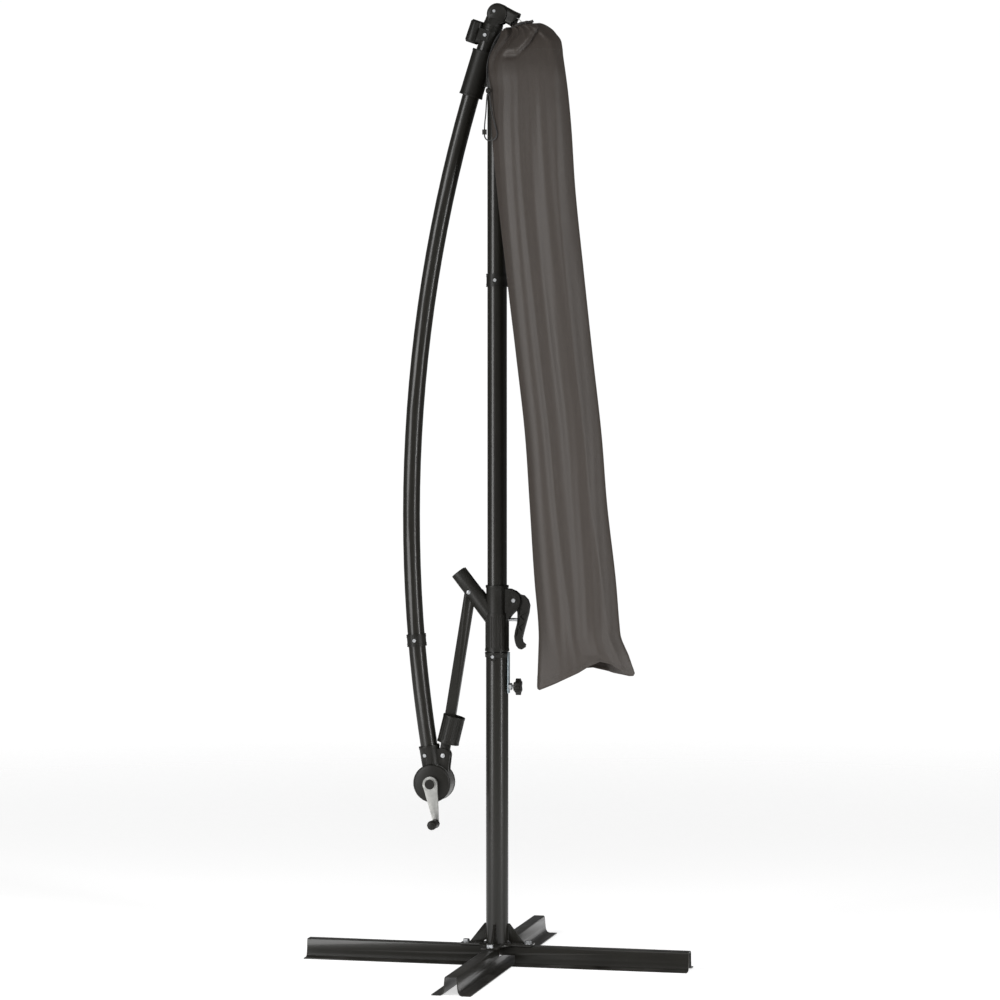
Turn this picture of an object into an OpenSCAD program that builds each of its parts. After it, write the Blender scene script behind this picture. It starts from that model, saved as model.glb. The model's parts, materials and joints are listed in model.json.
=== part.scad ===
// Cantilever parasol, folded and in its storage cover. Millimetres, +Z up.
// The origin is on the ground, on the axis of the mast. X runs along the long
// base bar and lies in the plane in which the boom moves; +X is the canopy side.

/* [Base] */
// Length of each of the two crossed base bars
bar_length = 964; // [800:2:1200]
// Width over the flanges of a base bar
bar_width = 95; // [80:1:120]
// Height of a base bar
bar_height = 46; // [40:1:60]
// Sheet thickness of the base bars
bar_sheet = 2.5; // [2:0.5:4]
// Distance of each foot bolt from the mast axis
bolt_reach = 78; // [74:1:90]
// Height of the stiffening gussets
gusset_height = 49; // [40:1:70]

/* [Mast] */
// Outer diameter of the fixed lower mast tube
lower_tube_d = 55; // [54:1:60]
// Height of the top of the lower mast tube
lower_tube_top = 762; // [740:1:764]
// Outer diameter of the turning mast tube
mast_d = 48; // [46:1:48]
// Wall of the mast and boom tubes
tube_wall = 2; // [1.5:0.5:2.5]
// Height of the top of the turning mast tube
mast_top = 2134; // [2120:1:2140]

/* [Boom] */
// Radius of the arc that the boom is bent to
arc_radius = 3600; // [3590:5:3610]
// Outer diameter of the boom tube
boom_d = 42; // [40:1:42]

/* [Strut and slider] */
// Width of the flat strut, in the plane of the boom
strut_width = 26.5; // [24:0.5:27]
// Thickness of the flat strut
strut_thick = 13; // [10:1:13]
// Bore of the slider housing
slider_bore = 48.6; // [48.4:0.1:49]

/* [Canopy] */
// Number of canopy ribs
rib_count = 8; // [6:1:8]
// Thickness of the storage cover in this model
cover_wall = 3; // [2:0.5:4]

/* [Hidden] */

$fn = 64;

// Points of the mechanism, as [x, z] in the plane y = 0
arc_centre   = [3383, 1098];
strut_top    = [-67.7, 915.6];      // strut on slider
strut_foot   = [-134.3, 511.1];     // strut on crank housing
lever_pivot  = [44.3, 896.6];
guide_pivot  = [-8, 2168.7];
head_pivot   = [3.5, 2328];
crank_centre = [-159.5, 443];
knob_z       = 684;

// Stations of the boom, in degrees along its arc from its leftmost point
boom_foot_t    = -9.7;
boom_seam_t    = -5.0;
boom_ring_t    = -4.84;
boom_end_t     = 19.6;
guide_t        = 17.56;
stop_t         = 19.06;

strut_len  = norm(strut_top - strut_foot);
strut_tilt = atan2(strut_top[0] - strut_foot[0], strut_top[1] - strut_foot[1]);

// ---------- shared shapes ----------

// A ring with its axis on Z, standing on z = 0
module ring(ro, ri, h) {
  difference() {
    cylinder(r = ro, h = h);
    translate([0, 0, -1]) cylinder(r = ri, h = h + 2);
  }
}

// A cylinder with its axis on Y, centred on [x, z], from y0 to y1
module y_pin(p, r, y0, y1, fn = $fn) {
  translate([p[0], y1, p[1]]) rotate([90, 0, 0]) cylinder(r = r, h = y1 - y0, $fn = fn);
}

// A flat shape in the XZ plane, given thickness from y0 to y1
module xz_plate(y0, y1) {
  translate([0, y1, 0]) rotate([90, 0, 0]) linear_extrude(y1 - y0) children();
}

// Children placed on the boom's axis at t degrees, their Z along the boom
module on_boom(t) {
  translate([arc_centre[0] - arc_radius * cos(t), 0, arc_centre[1] + arc_radius * sin(t)])
    rotate([0, t, 0]) children();
}

// A ring swept along the boom's arc from t0 to t1 degrees
module boom_ring(ro, ri, t0, t1) {
  translate([arc_centre[0], 0, arc_centre[1]]) rotate([90, 0, 0]) rotate([0, 0, 180 - t1])
    rotate_extrude(angle = t1 - t0, $fn = 1440) translate([arc_radius, 0]) difference() {
      circle(r = ro, $fn = 48);
      if (ri > 0) circle(r = ri, $fn = 48);
    }
}

// A pan-head screw along +Y into the object: head face at y, shank of length len
module front_screw(p, y, head_r, shank_r, len) {
  difference() {
    union() {
      y_pin(p, head_r, y, y + 2.5, 32);
      y_pin(p, shank_r, y + 2.5, y + len, 24);
    }
    translate([p[0] - head_r * 0.7, y - 1, p[1] - 0.5]) cube([head_r * 1.4, 2, 1]);
  }
}

// ---------- base ----------

// One side of the hat section, outside then inside, from flange to crown
function hat_side() = let (w = bar_width / 2, h = bar_height, s = bar_sheet)
  [[w, 0], [w, s], [27, s], [22, 5], [19, 11], [17.6, 20], [15.6, h - 4], [14.4, h - 1.2], [12, h]];
function hat_inner() = let (h = bar_height, s = bar_sheet)
  [[11.4, h - s], [12.6, h - s - 0.8], [13.2, h - s - 3], [15, 19.4], [16.4, 10], [19.8, 3], [26, 0]];
function flip(pts) = [for (i = [len(pts) - 1 : -1 : 0]) [-pts[i][0], pts[i][1]]];

module hat_bar() {
  rotate([90, 0, 90]) translate([0, 0, -bar_length / 2]) linear_extrude(bar_length)
    polygon(concat(hat_side(), flip(hat_side()), flip(hat_inner()), hat_inner()));
}

module bolt_places(z) {
  for (a = [0 : 90 : 270]) rotate([0, 0, a]) translate([bolt_reach, 0, z]) children();
}

module base_bar_long() {
  color("#2b2d30") difference() {
    hat_bar();
    translate([-bar_width / 2 - 1, -bar_width / 2 - 1, -1])
      cube([bar_width + 2, bar_width + 2, bar_height / 2 + 1.25]);
    bolt_places(bar_height - 10) cylinder(d = 10.5, h = 20);
  }
}

module base_bar_cross() {
  color("#2b2d30") difference() {
    rotate([0, 0, 90]) hat_bar();
    translate([-bar_width / 2 - 1, -bar_width / 2 - 1, bar_height / 2 - 0.25])
      cube([bar_width + 2, bar_width + 2, bar_height]);
    bolt_places(bar_height - 10) cylinder(d = 10.5, h = 20);
  }
}

plate_z = bar_height;
plate_top = bar_height + 4;

module foot_plate() {
  color("#2b2d30") difference() {
    translate([0, 0, plate_z]) union() {
      translate([-bolt_reach - 12, -20, 0]) cube([2 * bolt_reach + 24, 40, 4]);
      translate([-20, -bolt_reach - 12, 0]) cube([40, 2 * bolt_reach + 24, 4]);
      cylinder(r = 46, h = 4);
    }
    bolt_places(plate_z - 5) cylinder(d = 10.5, h = 20);
  }
}

module foot_gussets() {
  inner = lower_tube_d / 2 + 0.1;
  outer = bolt_reach - 10;
  color("#2b2d30") for (a = [0 : 90 : 270]) rotate([0, 0, a]) xz_plate(-2.5, 2.5) difference() {
    translate([0, plate_top]) polygon([[inner, 0], [outer, 0], [outer, 3], [inner + 4, gusset_height],
                                       [inner, gusset_height]]);
    translate([inner, plate_top]) circle(r = 7);
  }
}

module foot_bolts() {
  color("#b9bdc1") bolt_places(plate_top) {
    ring(9.5, 5.2, 1.6);
    translate([0, 0, 1.6]) cylinder(r = 8.4, h = 6, $fn = 6);
    translate([0, 0, -18]) cylinder(r = 5, h = 19.6, $fn = 32);
  }
}

module foot_nuts() {
  color("#b9bdc1") bolt_places(bar_height - bar_sheet - 8.2) difference() {
    cylinder(r = 9.2, h = 8, $fn = 6);
    translate([0, 0, -1]) cylinder(r = 5.05, h = 10, $fn = 32);
  }
}

// ---------- lower mast ----------

collar_top = lower_tube_top + 6.4;

// A hole along +X at the height of the clamp knob
module stud_hole(r) {
  translate([20, 0, knob_z]) rotate([0, 90, 0]) cylinder(r = r, h = 30, $fn = 32);
}

module lower_mast_tube() {
  color("#303236") difference() {
    translate([0, 0, plate_top]) ring(lower_tube_d / 2, lower_tube_d / 2 - tube_wall, lower_tube_top - plate_top);
    stud_hole(4.5);
  }
}

module lower_mast_collar() {
  color("#1c1d1f") difference() {
    union() {
      translate([0, 0, collar_top - 12]) cylinder(r = 29.6, h = 12);
      translate([0, 0, collar_top - 4]) cylinder(r = 30.2, h = 4);
      y_pin([-5, collar_top - 13], 7.5, -30.6, -26);
    }
    translate([0, 0, collar_top - 30]) cylinder(r = lower_tube_d / 2 + 0.1, h = lower_tube_top + 0.2 - collar_top + 30);
    translate([0, 0, collar_top - 30]) cylinder(r = slider_bore / 2, h = 40);
    translate([27, -9.4, collar_top - 30]) cube([10, 18.8, 40]);
    y_pin([-5, collar_top - 10], 2.2, -40, 0, 24);
    y_pin([-5, collar_top - 10], 4.4, -40, -28.4, 32);
  }
}

module collar_screw() {
  color("#c4c7ca") front_screw([-5, collar_top - 10], -31, 4, 2, 3.2);
}

module mast_thrust_bush() {
  color("#1c1d1f") translate([0, 0, 280]) ring(lower_tube_d / 2 - tube_wall - 0.1, 12, 20);
}

module clamp_strip() {
  color("#a9b4bd") difference() {
    translate([lower_tube_d / 2 + 0.2, -9, knob_z - 16]) cube([2.5, 18, collar_top - knob_z + 16]);
    stud_hole(4.5);
  }
}

module clamp_nut() {
  color("#b9bdc1") difference() {
    translate([lower_tube_d / 2 + 2.9, 0, knob_z]) rotate([0, 90, 0]) cylinder(r = 9, h = 7, $fn = 6);
    stud_hole(4.05);
  }
}

knob_x0 = lower_tube_d / 2 + 15;

module clamp_knob() {
  color("#161718") difference() {
    translate([knob_x0, 0, knob_z]) rotate([0, 90, 0]) union() {
      cylinder(r = 11, h = 18);
      translate([0, 0, 5.5]) cylinder(r = 17.5, h = 11);
      for (a = [0 : 60 : 300]) rotate([0, 0, a]) translate([15.3, 0, 5]) cylinder(r = 5.2, h = 12, $fn = 32);
    }
    translate([knob_x0 - 5, 0, knob_z]) rotate([0, 90, 0]) cylinder(r = 4.02, h = 18, $fn = 32);
  }
}

module clamp_stud() {
  color("#b9bdc1") translate([mast_d / 2 + 0.6, 0, knob_z]) rotate([0, 90, 0])
    cylinder(r = 4, h = knob_x0 + 12.9 - mast_d / 2 - 0.6, $fn = 32);
}

// ---------- turning mast ----------

mast_seam = 1668;
coupler_z = 1680;
mast_foot = 300.4;

module mast_tube(z0, z1) {
  color("#303236") difference() {
    translate([0, 0, z0]) ring(mast_d / 2, mast_d / 2 - tube_wall, z1 - z0);
    y_pin([0, coupler_z], 2.2, -40, 0, 24);
  }
}

module mast_tube_lower() { mast_tube(mast_foot, mast_seam); }

module mast_tube_upper() { mast_tube(mast_seam + 0.3, mast_top); }

module mast_coupler_insert() {
  ro = mast_d / 2 - tube_wall - 0.1;
  color("#3a3c40") difference() {
    translate([0, 0, coupler_z - 80]) ring(ro, ro - 2, 160);
    y_pin([0, coupler_z], 2.2, -40, 0, 24);
  }
}

module mast_coupler_ring() {
  color("#1c1d1f") difference() {
    translate([0, 0, coupler_z - 16]) union() {
      cylinder(r = mast_d / 2 + 2.4, h = 32);
      for (z = [0, 4.5, 24.5, 29]) translate([0, 0, z]) cylinder(r = mast_d / 2 + 3.1, h = 3);
    }
    translate([0, 0, coupler_z - 20]) cylinder(r = mast_d / 2 + 0.1, h = 40);
    y_pin([0, coupler_z], 2.2, -40, 0, 24);
    y_pin([0, coupler_z], 4.6, -40, -mast_d / 2 - 1.4, 32);
  }
}

module mast_coupler_screw() {
  color("#c4c7ca") front_screw([0, coupler_z], -mast_d / 2 - 4, 4.2, 2, 9);
}

fork_cheek = [11.6, 16];            // inner and outer faces of the fork's cheeks

module mast_top_fork() {
  color("#26282b") difference() {
    union() {
      translate([0, 0, mast_top - 45]) cylinder(r = mast_d / 2 - tube_wall - 0.1, h = 46);
      translate([0, 0, mast_top + 0.3]) cylinder(r = mast_d / 2, h = 6);
      for (s = [-1, 1]) xz_plate(s > 0 ? fork_cheek[0] : -fork_cheek[1], s > 0 ? fork_cheek[1] : -fork_cheek[0])
        union() {
          translate([-17, mast_top + 3]) square([34, guide_pivot[1] - mast_top - 12]);
          translate([-20, mast_top + 12]) square([24, guide_pivot[1] - mast_top - 12]);
          translate(guide_pivot) circle(r = 12);
        }
    }
    y_pin(guide_pivot, 4, -20, 20, 32);
    translate([0, 0, mast_top - 50]) cylinder(r = 15, h = 45);
  }
}

module guide_pivot_pin() {
  color("#b9bdc1") {
    y_pin(guide_pivot, 4, -17.5, 17.5, 32);
    y_pin(guide_pivot, 7, -19.5, -16.2, 32);
    y_pin(guide_pivot, 7, 16.2, 19.5, 32);
  }
}

// ---------- slider ----------

slider_bottom = 771;
slider_step = 864;
slider_top = 933;
plug_tilt = -38;
plug_end = [-97.2, 964.2];

// Children with their Z along the plug and their origin at its outer end
module at_plug() {
  translate([plug_end[0], 0, plug_end[1]]) rotate([0, plug_tilt, 0]) children();
}

module slider_body() {
  translate([0, 0, slider_bottom]) {
    cylinder(r = 29.2, h = slider_step - slider_bottom);
    cylinder(r = 30, h = 6);
    translate([0, 0, slider_step - slider_bottom - 5]) cylinder(r = 28.6, h = 7);
    cylinder(r = 27, h = slider_top - slider_bottom);
    translate([0, 0, slider_top - slider_bottom - 6]) cylinder(r = 28.4, h = 6);
  }
  at_plug() translate([0, 0, -150]) cylinder(r = 22, h = 80);
  at_plug() translate([0, 0, -75]) cylinder(r = 20.5, h = 75);
  // ears of the clamp lever
  for (s = [-1, 1]) xz_plate(s > 0 ? 10 : -15, s > 0 ? 15 : -10) union() {
    polygon([[20, 925], [34, 924], [46, 919], [55, 912], [60, 904], [61, 894], [58, 882], [48, 871],
             [38, 861], [31, 852], [25, 843], [20, 832]]);
  }
}

module slider_housing() {
  color("#1c1d1f") difference() {
    slider_body();
    translate([0, 0, slider_bottom - 10]) cylinder(d = slider_bore, h = 200);
    // slot of the strut, its swing and its pivot
    translate([-150, -7.5, 780]) cube([100, 15, 250]);
    y_pin(strut_top, 18, -7.5, 7.5);
    y_pin(strut_top, 4, -30, 30, 32);
    y_pin(strut_top, 5.6, -30, -18.2, 32);
    y_pin(strut_top, 5.6, 18.2, 30, 32);
    // window of the clamp shoe and the cam, and the bore of the lever pin
    translate([18, -10, 868]) cube([40, 20, 50]);
    y_pin(lever_pivot, 4, -20, 20, 32);
    translate([20, 0, 849]) rotate([0, 90, 0]) cylinder(r = 4.3, h = 20, $fn = 32);
    // flutes round the lower part
    for (i = [0 : 23]) rotate([0, 0, i * 15]) translate([30.6, 0, slider_bottom + 9])
      cylinder(r = 2.2, h = slider_step - slider_bottom - 17, $fn = 24);
  }
}

module strut_pivot_screw() {
  color("#c4c7ca") {
    y_pin(strut_top, 4, -18.4, 18.4, 32);
    y_pin(strut_top, 5, -21, -18.3, 32);
    y_pin(strut_top, 5, 18.3, 21, 32);
  }
}

module lever_pin() {
  color("#c4c7ca") {
    y_pin(lever_pivot, 4, -15.6, 15.6, 32);
    y_pin(lever_pivot, 4.8, -17.6, -15.2, 32);
    y_pin(lever_pivot, 4.8, 15.2, 17.6, 32);
  }
}

module clamp_shoe() {
  color("#4a4c4f") difference() {
    translate([22, -9.5, 872]) cube([6.5, 19, 42]);
    translate([0, 0, 860]) cylinder(d = slider_bore, h = 70);
  }
}

module lever_stop_rod() {
  color("#b9bdc1") translate([25, 0, 849]) rotate([0, 90, 0]) cylinder(r = 4.2, h = 26, $fn = 32);
}

// ---------- clamp lever ----------

// Inner edges of the rim that runs round the lever's truss, at height z
function truss_left(z) = lookup(z, [[800, 48.5], [812, 48.6], [823, 50.5], [840, 55], [866, 56], [890, 56]]);
function truss_right(z) = lookup(z, [[800, 60], [812, 61.5], [826, 65], [846, 70.5], [866, 76], [884, 78.5]]);
truss_pitch = 13;
truss_depth = 3.5;

module clamp_lever() {
  half = 9;
  color("#161718") difference() {
    xz_plate(-half, half) union() {
      translate(lever_pivot) circle(r = 14.5);
      polygon([[46, 910.5], [56, 911], [68, 908.5], [78, 898], [82, 884], [79.5, 866], [74, 846], [68.6, 826],
               [65, 812], [63, 802], [64.5, 794], [71.5, 788], [70, 781], [62.5, 776], [55, 778.5],
               [49.5, 785], [45.8, 797], [44.5, 808], [46.8, 823], [51.5, 840], [52.5, 856], [52.5, 866],
               [50, 876], [42, 884]]);
    }
    y_pin(lever_pivot, 4.05, -20, 20, 32);
    for (side = [-1, 1], i = [0 : 4]) {
      a = 806 + truss_pitch * i;
      b = a + truss_pitch;
      c = b + truss_pitch;
      xz_plate(side > 0 ? half - truss_depth : -20, side > 0 ? 20 : truss_depth - half)
        polygon(i % 2 == 0 ? [[truss_left(a), a + 2], [truss_left(c), c - 2], [truss_right(b) - 2.5, b]]
                           : [[truss_right(a), a + 2], [truss_right(c), c - 2], [truss_left(b) + 2.5, b]]);
    }
  }
}

// ---------- strut ----------

// Children with their origin on the strut's foot pivot and Z along the strut
module on_strut() {
  translate([strut_foot[0], 0, strut_foot[1]]) rotate([0, strut_tilt, 0]) children();
}

knuckle_len = 46;
open_pivot_r = 12;                  // wide bore, because this pivot closes the linkage

module strut_bar() {
  w = strut_width;
  color("#303236") on_strut() difference() {
    union() {
      translate([-w / 2, -strut_thick / 2, 30]) cube([w, strut_thick, strut_len - 30]);
      translate([0, strut_thick / 2, strut_len]) rotate([90, 0, 0]) cylinder(r = w / 2, h = strut_thick);
    }
    translate([0, 20, strut_len]) rotate([90, 0, 0]) cylinder(r = 4.05, h = 40, $fn = 32);
    translate([-w / 2 + 1.6, -strut_thick / 2 + 1.6, 20]) cube([w - 3.2, strut_thick - 3.2, strut_len - 40]);
  }
}

module strut_knuckle() {
  w = strut_width;
  color("#1c1d1f") on_strut() difference() {
    union() {
      rotate([90, 0, 0]) translate([0, 0, -strut_thick / 2]) cylinder(r = 16, h = strut_thick);
      translate([-w / 2 + 1.5, -strut_thick / 2, 0]) cube([w - 3, strut_thick, 29.8]);
      translate([-w / 2 + 1.8, -strut_thick / 2 + 1.8, 25]) cube([w - 3.6, strut_thick - 3.6, knuckle_len - 25]);
    }
    rotate([90, 0, 0]) translate([0, 0, -20]) cylinder(r = open_pivot_r, h = 40);
  }
}

sleeve_centre = [-116.5, 575];
sleeve_tilt = 14;
sleeve_len = 69;

module locking_sleeve() {
  color("#1c1d1f") translate([sleeve_centre[0], 0, sleeve_centre[1]]) rotate([0, sleeve_tilt, 0])
    translate([0, 0, -sleeve_len / 2]) difference() {
      union() {
        cylinder(r = 27, h = sleeve_len);
        translate([0, 0, sleeve_len - 5]) cylinder(r = 27.5, h = 5);
        cylinder(r = 27.5, h = 4);
      }
      translate([0, 0, 3]) cylinder(r = 25.4, h = sleeve_len);
      translate([-22, -7.6, -1]) cube([40, 15.2, 6]);
      for (i = [0 : 17]) rotate([0, 0, i * 20 + 10]) translate([28.3, 0, 8])
        cylinder(r = 2.2, h = sleeve_len - 17, $fn = 24);
    }
}

// ---------- guide ----------

guide_half_t = 57.5 / arc_radius * 180 / PI;
boom_r = boom_d / 2;

module guide_sleeve() {
  color("#1c1d1f") difference() {
    union() {
      on_boom(guide_t) translate([0, 0, -57.5]) {
        cylinder(r = 28.4, h = 115);
        for (z = [0, 109]) translate([0, 0, z]) cylinder(r = 29.2, h = 6);
      }
      xz_plate(-11, 11) union() {
        translate(guide_pivot) circle(r = 11);
        polygon([[-40, 2196], [-26, 2192], [-1, 2177], [-3, 2159], [-30, 2152], [-52, 2150]]);
      }
    }
    boom_ring(26, 0, guide_t - 1.2, guide_t + 1.2);
    y_pin(guide_pivot, 4.05, -20, 20, 32);
  }
}

module guide_liner() {
  color("#3d3e40") {
    boom_ring(25.9, boom_r + 0.3, guide_t - guide_half_t * 0.97, guide_t - guide_half_t * 0.55);
    boom_ring(25.9, boom_r + 0.3, guide_t + guide_half_t * 0.55, guide_t + guide_half_t * 0.97);
  }
}

// ---------- boom ----------

ring_p = [arc_centre[0] - arc_radius * cos(boom_ring_t), arc_centre[1] + arc_radius * sin(boom_ring_t)];
stop_screw_p = [-25, 2276.5];

module boom_tube_lower() {
  color("#303236") difference() {
    boom_ring(boom_r, boom_r - tube_wall, boom_foot_t, boom_seam_t);
    // slot for the eye of the strut
    y_pin(strut_foot, 28, -7.4, 7.4);
  }
}

module boom_tube_upper() {
  color("#303236") difference() {
    boom_ring(boom_r, boom_r - tube_wall, boom_seam_t + 0.01, boom_end_t);
    y_pin(ring_p, 2.2, -40, 0, 24);
  }
}

module boom_coupler_insert() {
  color("#3a3c40") difference() {
    boom_ring(boom_r - tube_wall - 0.1, boom_r - tube_wall - 2.1, boom_seam_t - 1, boom_seam_t + 1.2);
    y_pin(ring_p, 2.2, -40, 0, 24);
  }
}

module boom_coupler_ring() {
  color("#1c1d1f") difference() {
    on_boom(boom_ring_t) translate([0, 0, -15]) union() {
      cylinder(r = boom_r + 2.6, h = 30);
      for (z = [0, 4.5, 22.5, 27]) translate([0, 0, z]) cylinder(r = boom_r + 3.4, h = 3);
    }
    boom_ring(boom_r + 0.1, 0, boom_ring_t - 0.6, boom_ring_t + 0.6);
    y_pin(ring_p, 2.2, -40, 0, 24);
    y_pin(ring_p, 4.6, -40, -boom_r - 1.4, 32);
  }
}

socket_screw_p = [-178, 511];

module boom_coupler_screw() {
  color("#c4c7ca") {
    front_screw(ring_p, -boom_r - 4, 4.2, 2, 9);
    front_screw(socket_screw_p, -26.6, 4.2, 2, 6.5);
  }
}

housing_r = 47;
housing_half = 24;
cover_depth = 9;

module crank_housing() {
  socket_mid = -9.4;
  color("#1c1d1f") difference() {
    union() {
      y_pin(crank_centre, housing_r - 1, -housing_half, housing_half);
      on_boom(socket_mid) translate([0, 0, -26]) {
        cylinder(r = 25, h = 51);
        translate([0, 0, 44]) cylinder(r = 25.8, h = 7);
      }
      for (s = [-1, 1]) xz_plate(s > 0 ? 7.6 : -13, s > 0 ? 13 : -7.6) union() {
        translate(strut_foot) circle(r = 17);
        polygon([[-150, 527], [-134, 528], [-117.5, 509], [-122, 470], [-160, 470]]);
      }
    }
    y_pin(crank_centre, housing_r - 4, -housing_half + 3, housing_half - 3);
    y_pin(crank_centre, 12, -40, 40);
    boom_ring(boom_r + 0.1, 0, boom_foot_t - 0.05, -8);
    on_boom(-9.9) translate([0, 0, -20]) cylinder(r = 12, h = 30);
    // room between the ears for the knuckle
    y_pin(strut_foot, 28, -7.4, 7.4);
    translate([strut_foot[0], -7.4, strut_foot[1] - 14]) cube([60, 14.8, 60]);
    y_pin(strut_foot, 4, -20, 20, 32);
    y_pin(socket_screw_p, 2.2, -40, -16, 24);
    y_pin(socket_screw_p, 4.5, -40, -24, 32);
    // seats of the two lids
    for (s = [-1, 1]) y_pin(crank_centre, housing_r + 0.4, s > 0 ? housing_half : -30, s > 0 ? 30 : -housing_half);
  }
}

// A shallow domed lid of the crank housing, its rim on y = 0 and its crown at -Y
module housing_lid() {
  edge = 1.6;
  rotate([90, 0, 0]) rotate_extrude() polygon(concat([[12, 0], [housing_r, 0]],
    [for (a = [0 : 12 : 84]) [12 + (housing_r - 12) * cos(a), edge + (cover_depth - edge) * sin(a)]],
    [[12, cover_depth]]));
}

module crank_front_cover() {
  color("#232427") translate([crank_centre[0], -housing_half - 0.1, crank_centre[1]]) difference() {
    housing_lid();
    rotate([90, 0, 0]) translate([0, 0, -5]) cylinder(r = 12.4, h = 30);
  }
}

module crank_back_cover() {
  color("#232427") translate([crank_centre[0], housing_half + 0.1, crank_centre[1]]) mirror([0, 1, 0])
    difference() {
      housing_lid();
      rotate([90, 0, 0]) translate([0, 0, -5]) cylinder(r = 12.4, h = 30);
    }
}

module strut_end_bolt() {
  color("#8d99a6") {
    y_pin(strut_foot, 4, -13.5, 13.5, 32);
    y_pin(strut_foot, 5.2, -16, -13.2, 32);
    y_pin(strut_foot, 5.2, 13.2, 16, 32);
  }
}

stop_barrel_r = 17.8;
stop_barrel_x = -38;                // from the boom's axis, away from the canopy

module stop_block() {
  color("#1c1d1f") difference() {
    on_boom(stop_t) {
      translate([stop_barrel_x, 0, -28]) {
        cylinder(r1 = stop_barrel_r - 4, r2 = stop_barrel_r, h = 5);
        translate([0, 0, 4.9]) cylinder(r = stop_barrel_r, h = 47.2);
        translate([0, 0, 52]) cylinder(r1 = stop_barrel_r, r2 = stop_barrel_r - 4, h = 5);
      }
      translate([stop_barrel_x, -14, -22]) cube([-stop_barrel_x, 28, 36]);
      translate([-22, -24.5, -14]) cube([26, 49, 28]);
      translate([0, 0, -14]) cylinder(r = 24.3, h = 28);
    }
    // room for the head socket's end
    on_boom(stop_t) translate([0, 0, 14.4]) cylinder(r = 25.4, h = 40);
    boom_ring(boom_r + 0.15, 0, stop_t - 0.6, stop_t + 0.6);
    y_pin(stop_screw_p, 2.2, -40, 0, 24);
  }
}

module stop_block_screw() {
  color("#c4c7ca") front_screw(stop_screw_p, -27.2, 4.2, 2, 4.5);
}

// The head pivot seen from the boom's end, across and along the boom
elbow_r = 26;
elbow_half = 22;
tongue_gap = 11.8;
elbow_screw_p = [-2.9, 2334.4];

// The round end of the elbow, with its rim rounded off
module elbow_drum() {
  translate([head_pivot[0], 0, head_pivot[1]]) rotate([90, 0, 0]) rotate_extrude() polygon([
    [0, -elbow_half], [elbow_r - 5, -elbow_half], [elbow_r - 1.6, 2 - elbow_half], [elbow_r, 6 - elbow_half],
    [elbow_r, elbow_half - 6], [elbow_r - 1.6, elbow_half - 2], [elbow_r - 5, elbow_half], [0, elbow_half]]);
}

module head_socket() {
  color("#1c1d1f") difference() {
    union() {
      on_boom(boom_end_t) translate([0, 0, -19]) {
        cylinder(r = 24, h = 30);
        for (z = [0, 6, 12]) translate([0, 0, z]) cylinder(r = 24.8, h = 3);
      }
      elbow_drum();
    }
    boom_ring(boom_r + 0.1, 0, 19, boom_end_t + 0.005);
    on_boom(boom_end_t) cylinder(r = 12, h = 20, center = true);
    // room for the tongue of the head arm
    on_boom(boom_end_t) translate([-60, -tongue_gap, 1]) cube([120, 2 * tongue_gap, 80]);
    // the pin goes in from the back, and the front cheek is closed over it
    y_pin(head_pivot, 4, -18, 30, 32);
    y_pin(head_pivot, 8, 18.1, 30, 32);
    y_pin(elbow_screw_p, 1.8, -30, -14, 24);
    y_pin(elbow_screw_p, 3.7, -30, -21.4, 32);
  }
}

module head_bolt() {
  color("#c4c7ca") {
    y_pin(head_pivot, 4, -17.8, 18.4, 32);
    y_pin(head_pivot, 7, 18.2, 21, 32);
    front_screw(elbow_screw_p, -24, 3.5, 1.7, 8);
  }
}

// ---------- cords ----------

// A tube of n sides swept along the points p, which are [x, y, z]
function unit(v) = v / norm(v);
function tangent(p, i) = unit(p[min(i + 1, len(p) - 1)] - p[max(i - 1, 0)]);
function side_of(t) = unit(cross(t, abs(t[1]) < 0.9 ? [0, 1, 0] : [1, 0, 0]));
module swept_cord(p, r, n = 8) {
  m = len(p);
  pts = [for (i = [0 : m - 1]) let (t = tangent(p, i), u = side_of(t), v = cross(t, u))
         for (k = [0 : n - 1]) p[i] + r * (cos(360 * k / n) * u + sin(360 * k / n) * v)];
  walls = [for (i = [0 : m - 2], k = [0 : n - 1])
           [i * n + k, (i + 1) * n + k, (i + 1) * n + (k + 1) % n, i * n + (k + 1) % n]];
  polyhedron(pts, concat([[for (k = [0 : n - 1]) k]], walls, [[for (k = [n - 1 : -1 : 0]) (m - 1) * n + k]]),
             convexity = 6);
}

hoist_r = 1.5;
drum_r = 18;
hoist_foot = [[-177.6, 0, 446], [-177, 0, 462], [-174, 0, 480], [-172, 0, 500]];
hoist_head = [[-13, 0, 2292], [-9.6, 0, 2308], [-6.8, 0, 2322]];

module hoist_cord() {
  color("#d8d8d2") swept_cord(concat(hoist_foot,
    [for (t = [-9 : 0.5 : 19]) [arc_centre[0] - arc_radius * cos(t), 0, arc_centre[1] + arc_radius * sin(t)]],
    hoist_head), hoist_r);
}

// ---------- crank ----------

crank_face = -housing_half - 0.1 - cover_depth - 0.4;

module winding_drum() {
  color("#8f9396") difference() {
    union() {
      y_pin(crank_centre, 16, -14, 14);
      y_pin(crank_centre, 26, -16, -13);
      y_pin(crank_centre, 26, 13, 16);
      y_pin(crank_centre, 11.9, -26, 26);
      y_pin(crank_centre, 7, crank_face - 4, -20, 32);
    }
    y_pin(crank_centre, 3, crank_face - 10, -30, 24);
  }
}

crank_tip = [-144.5, 347];

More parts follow.
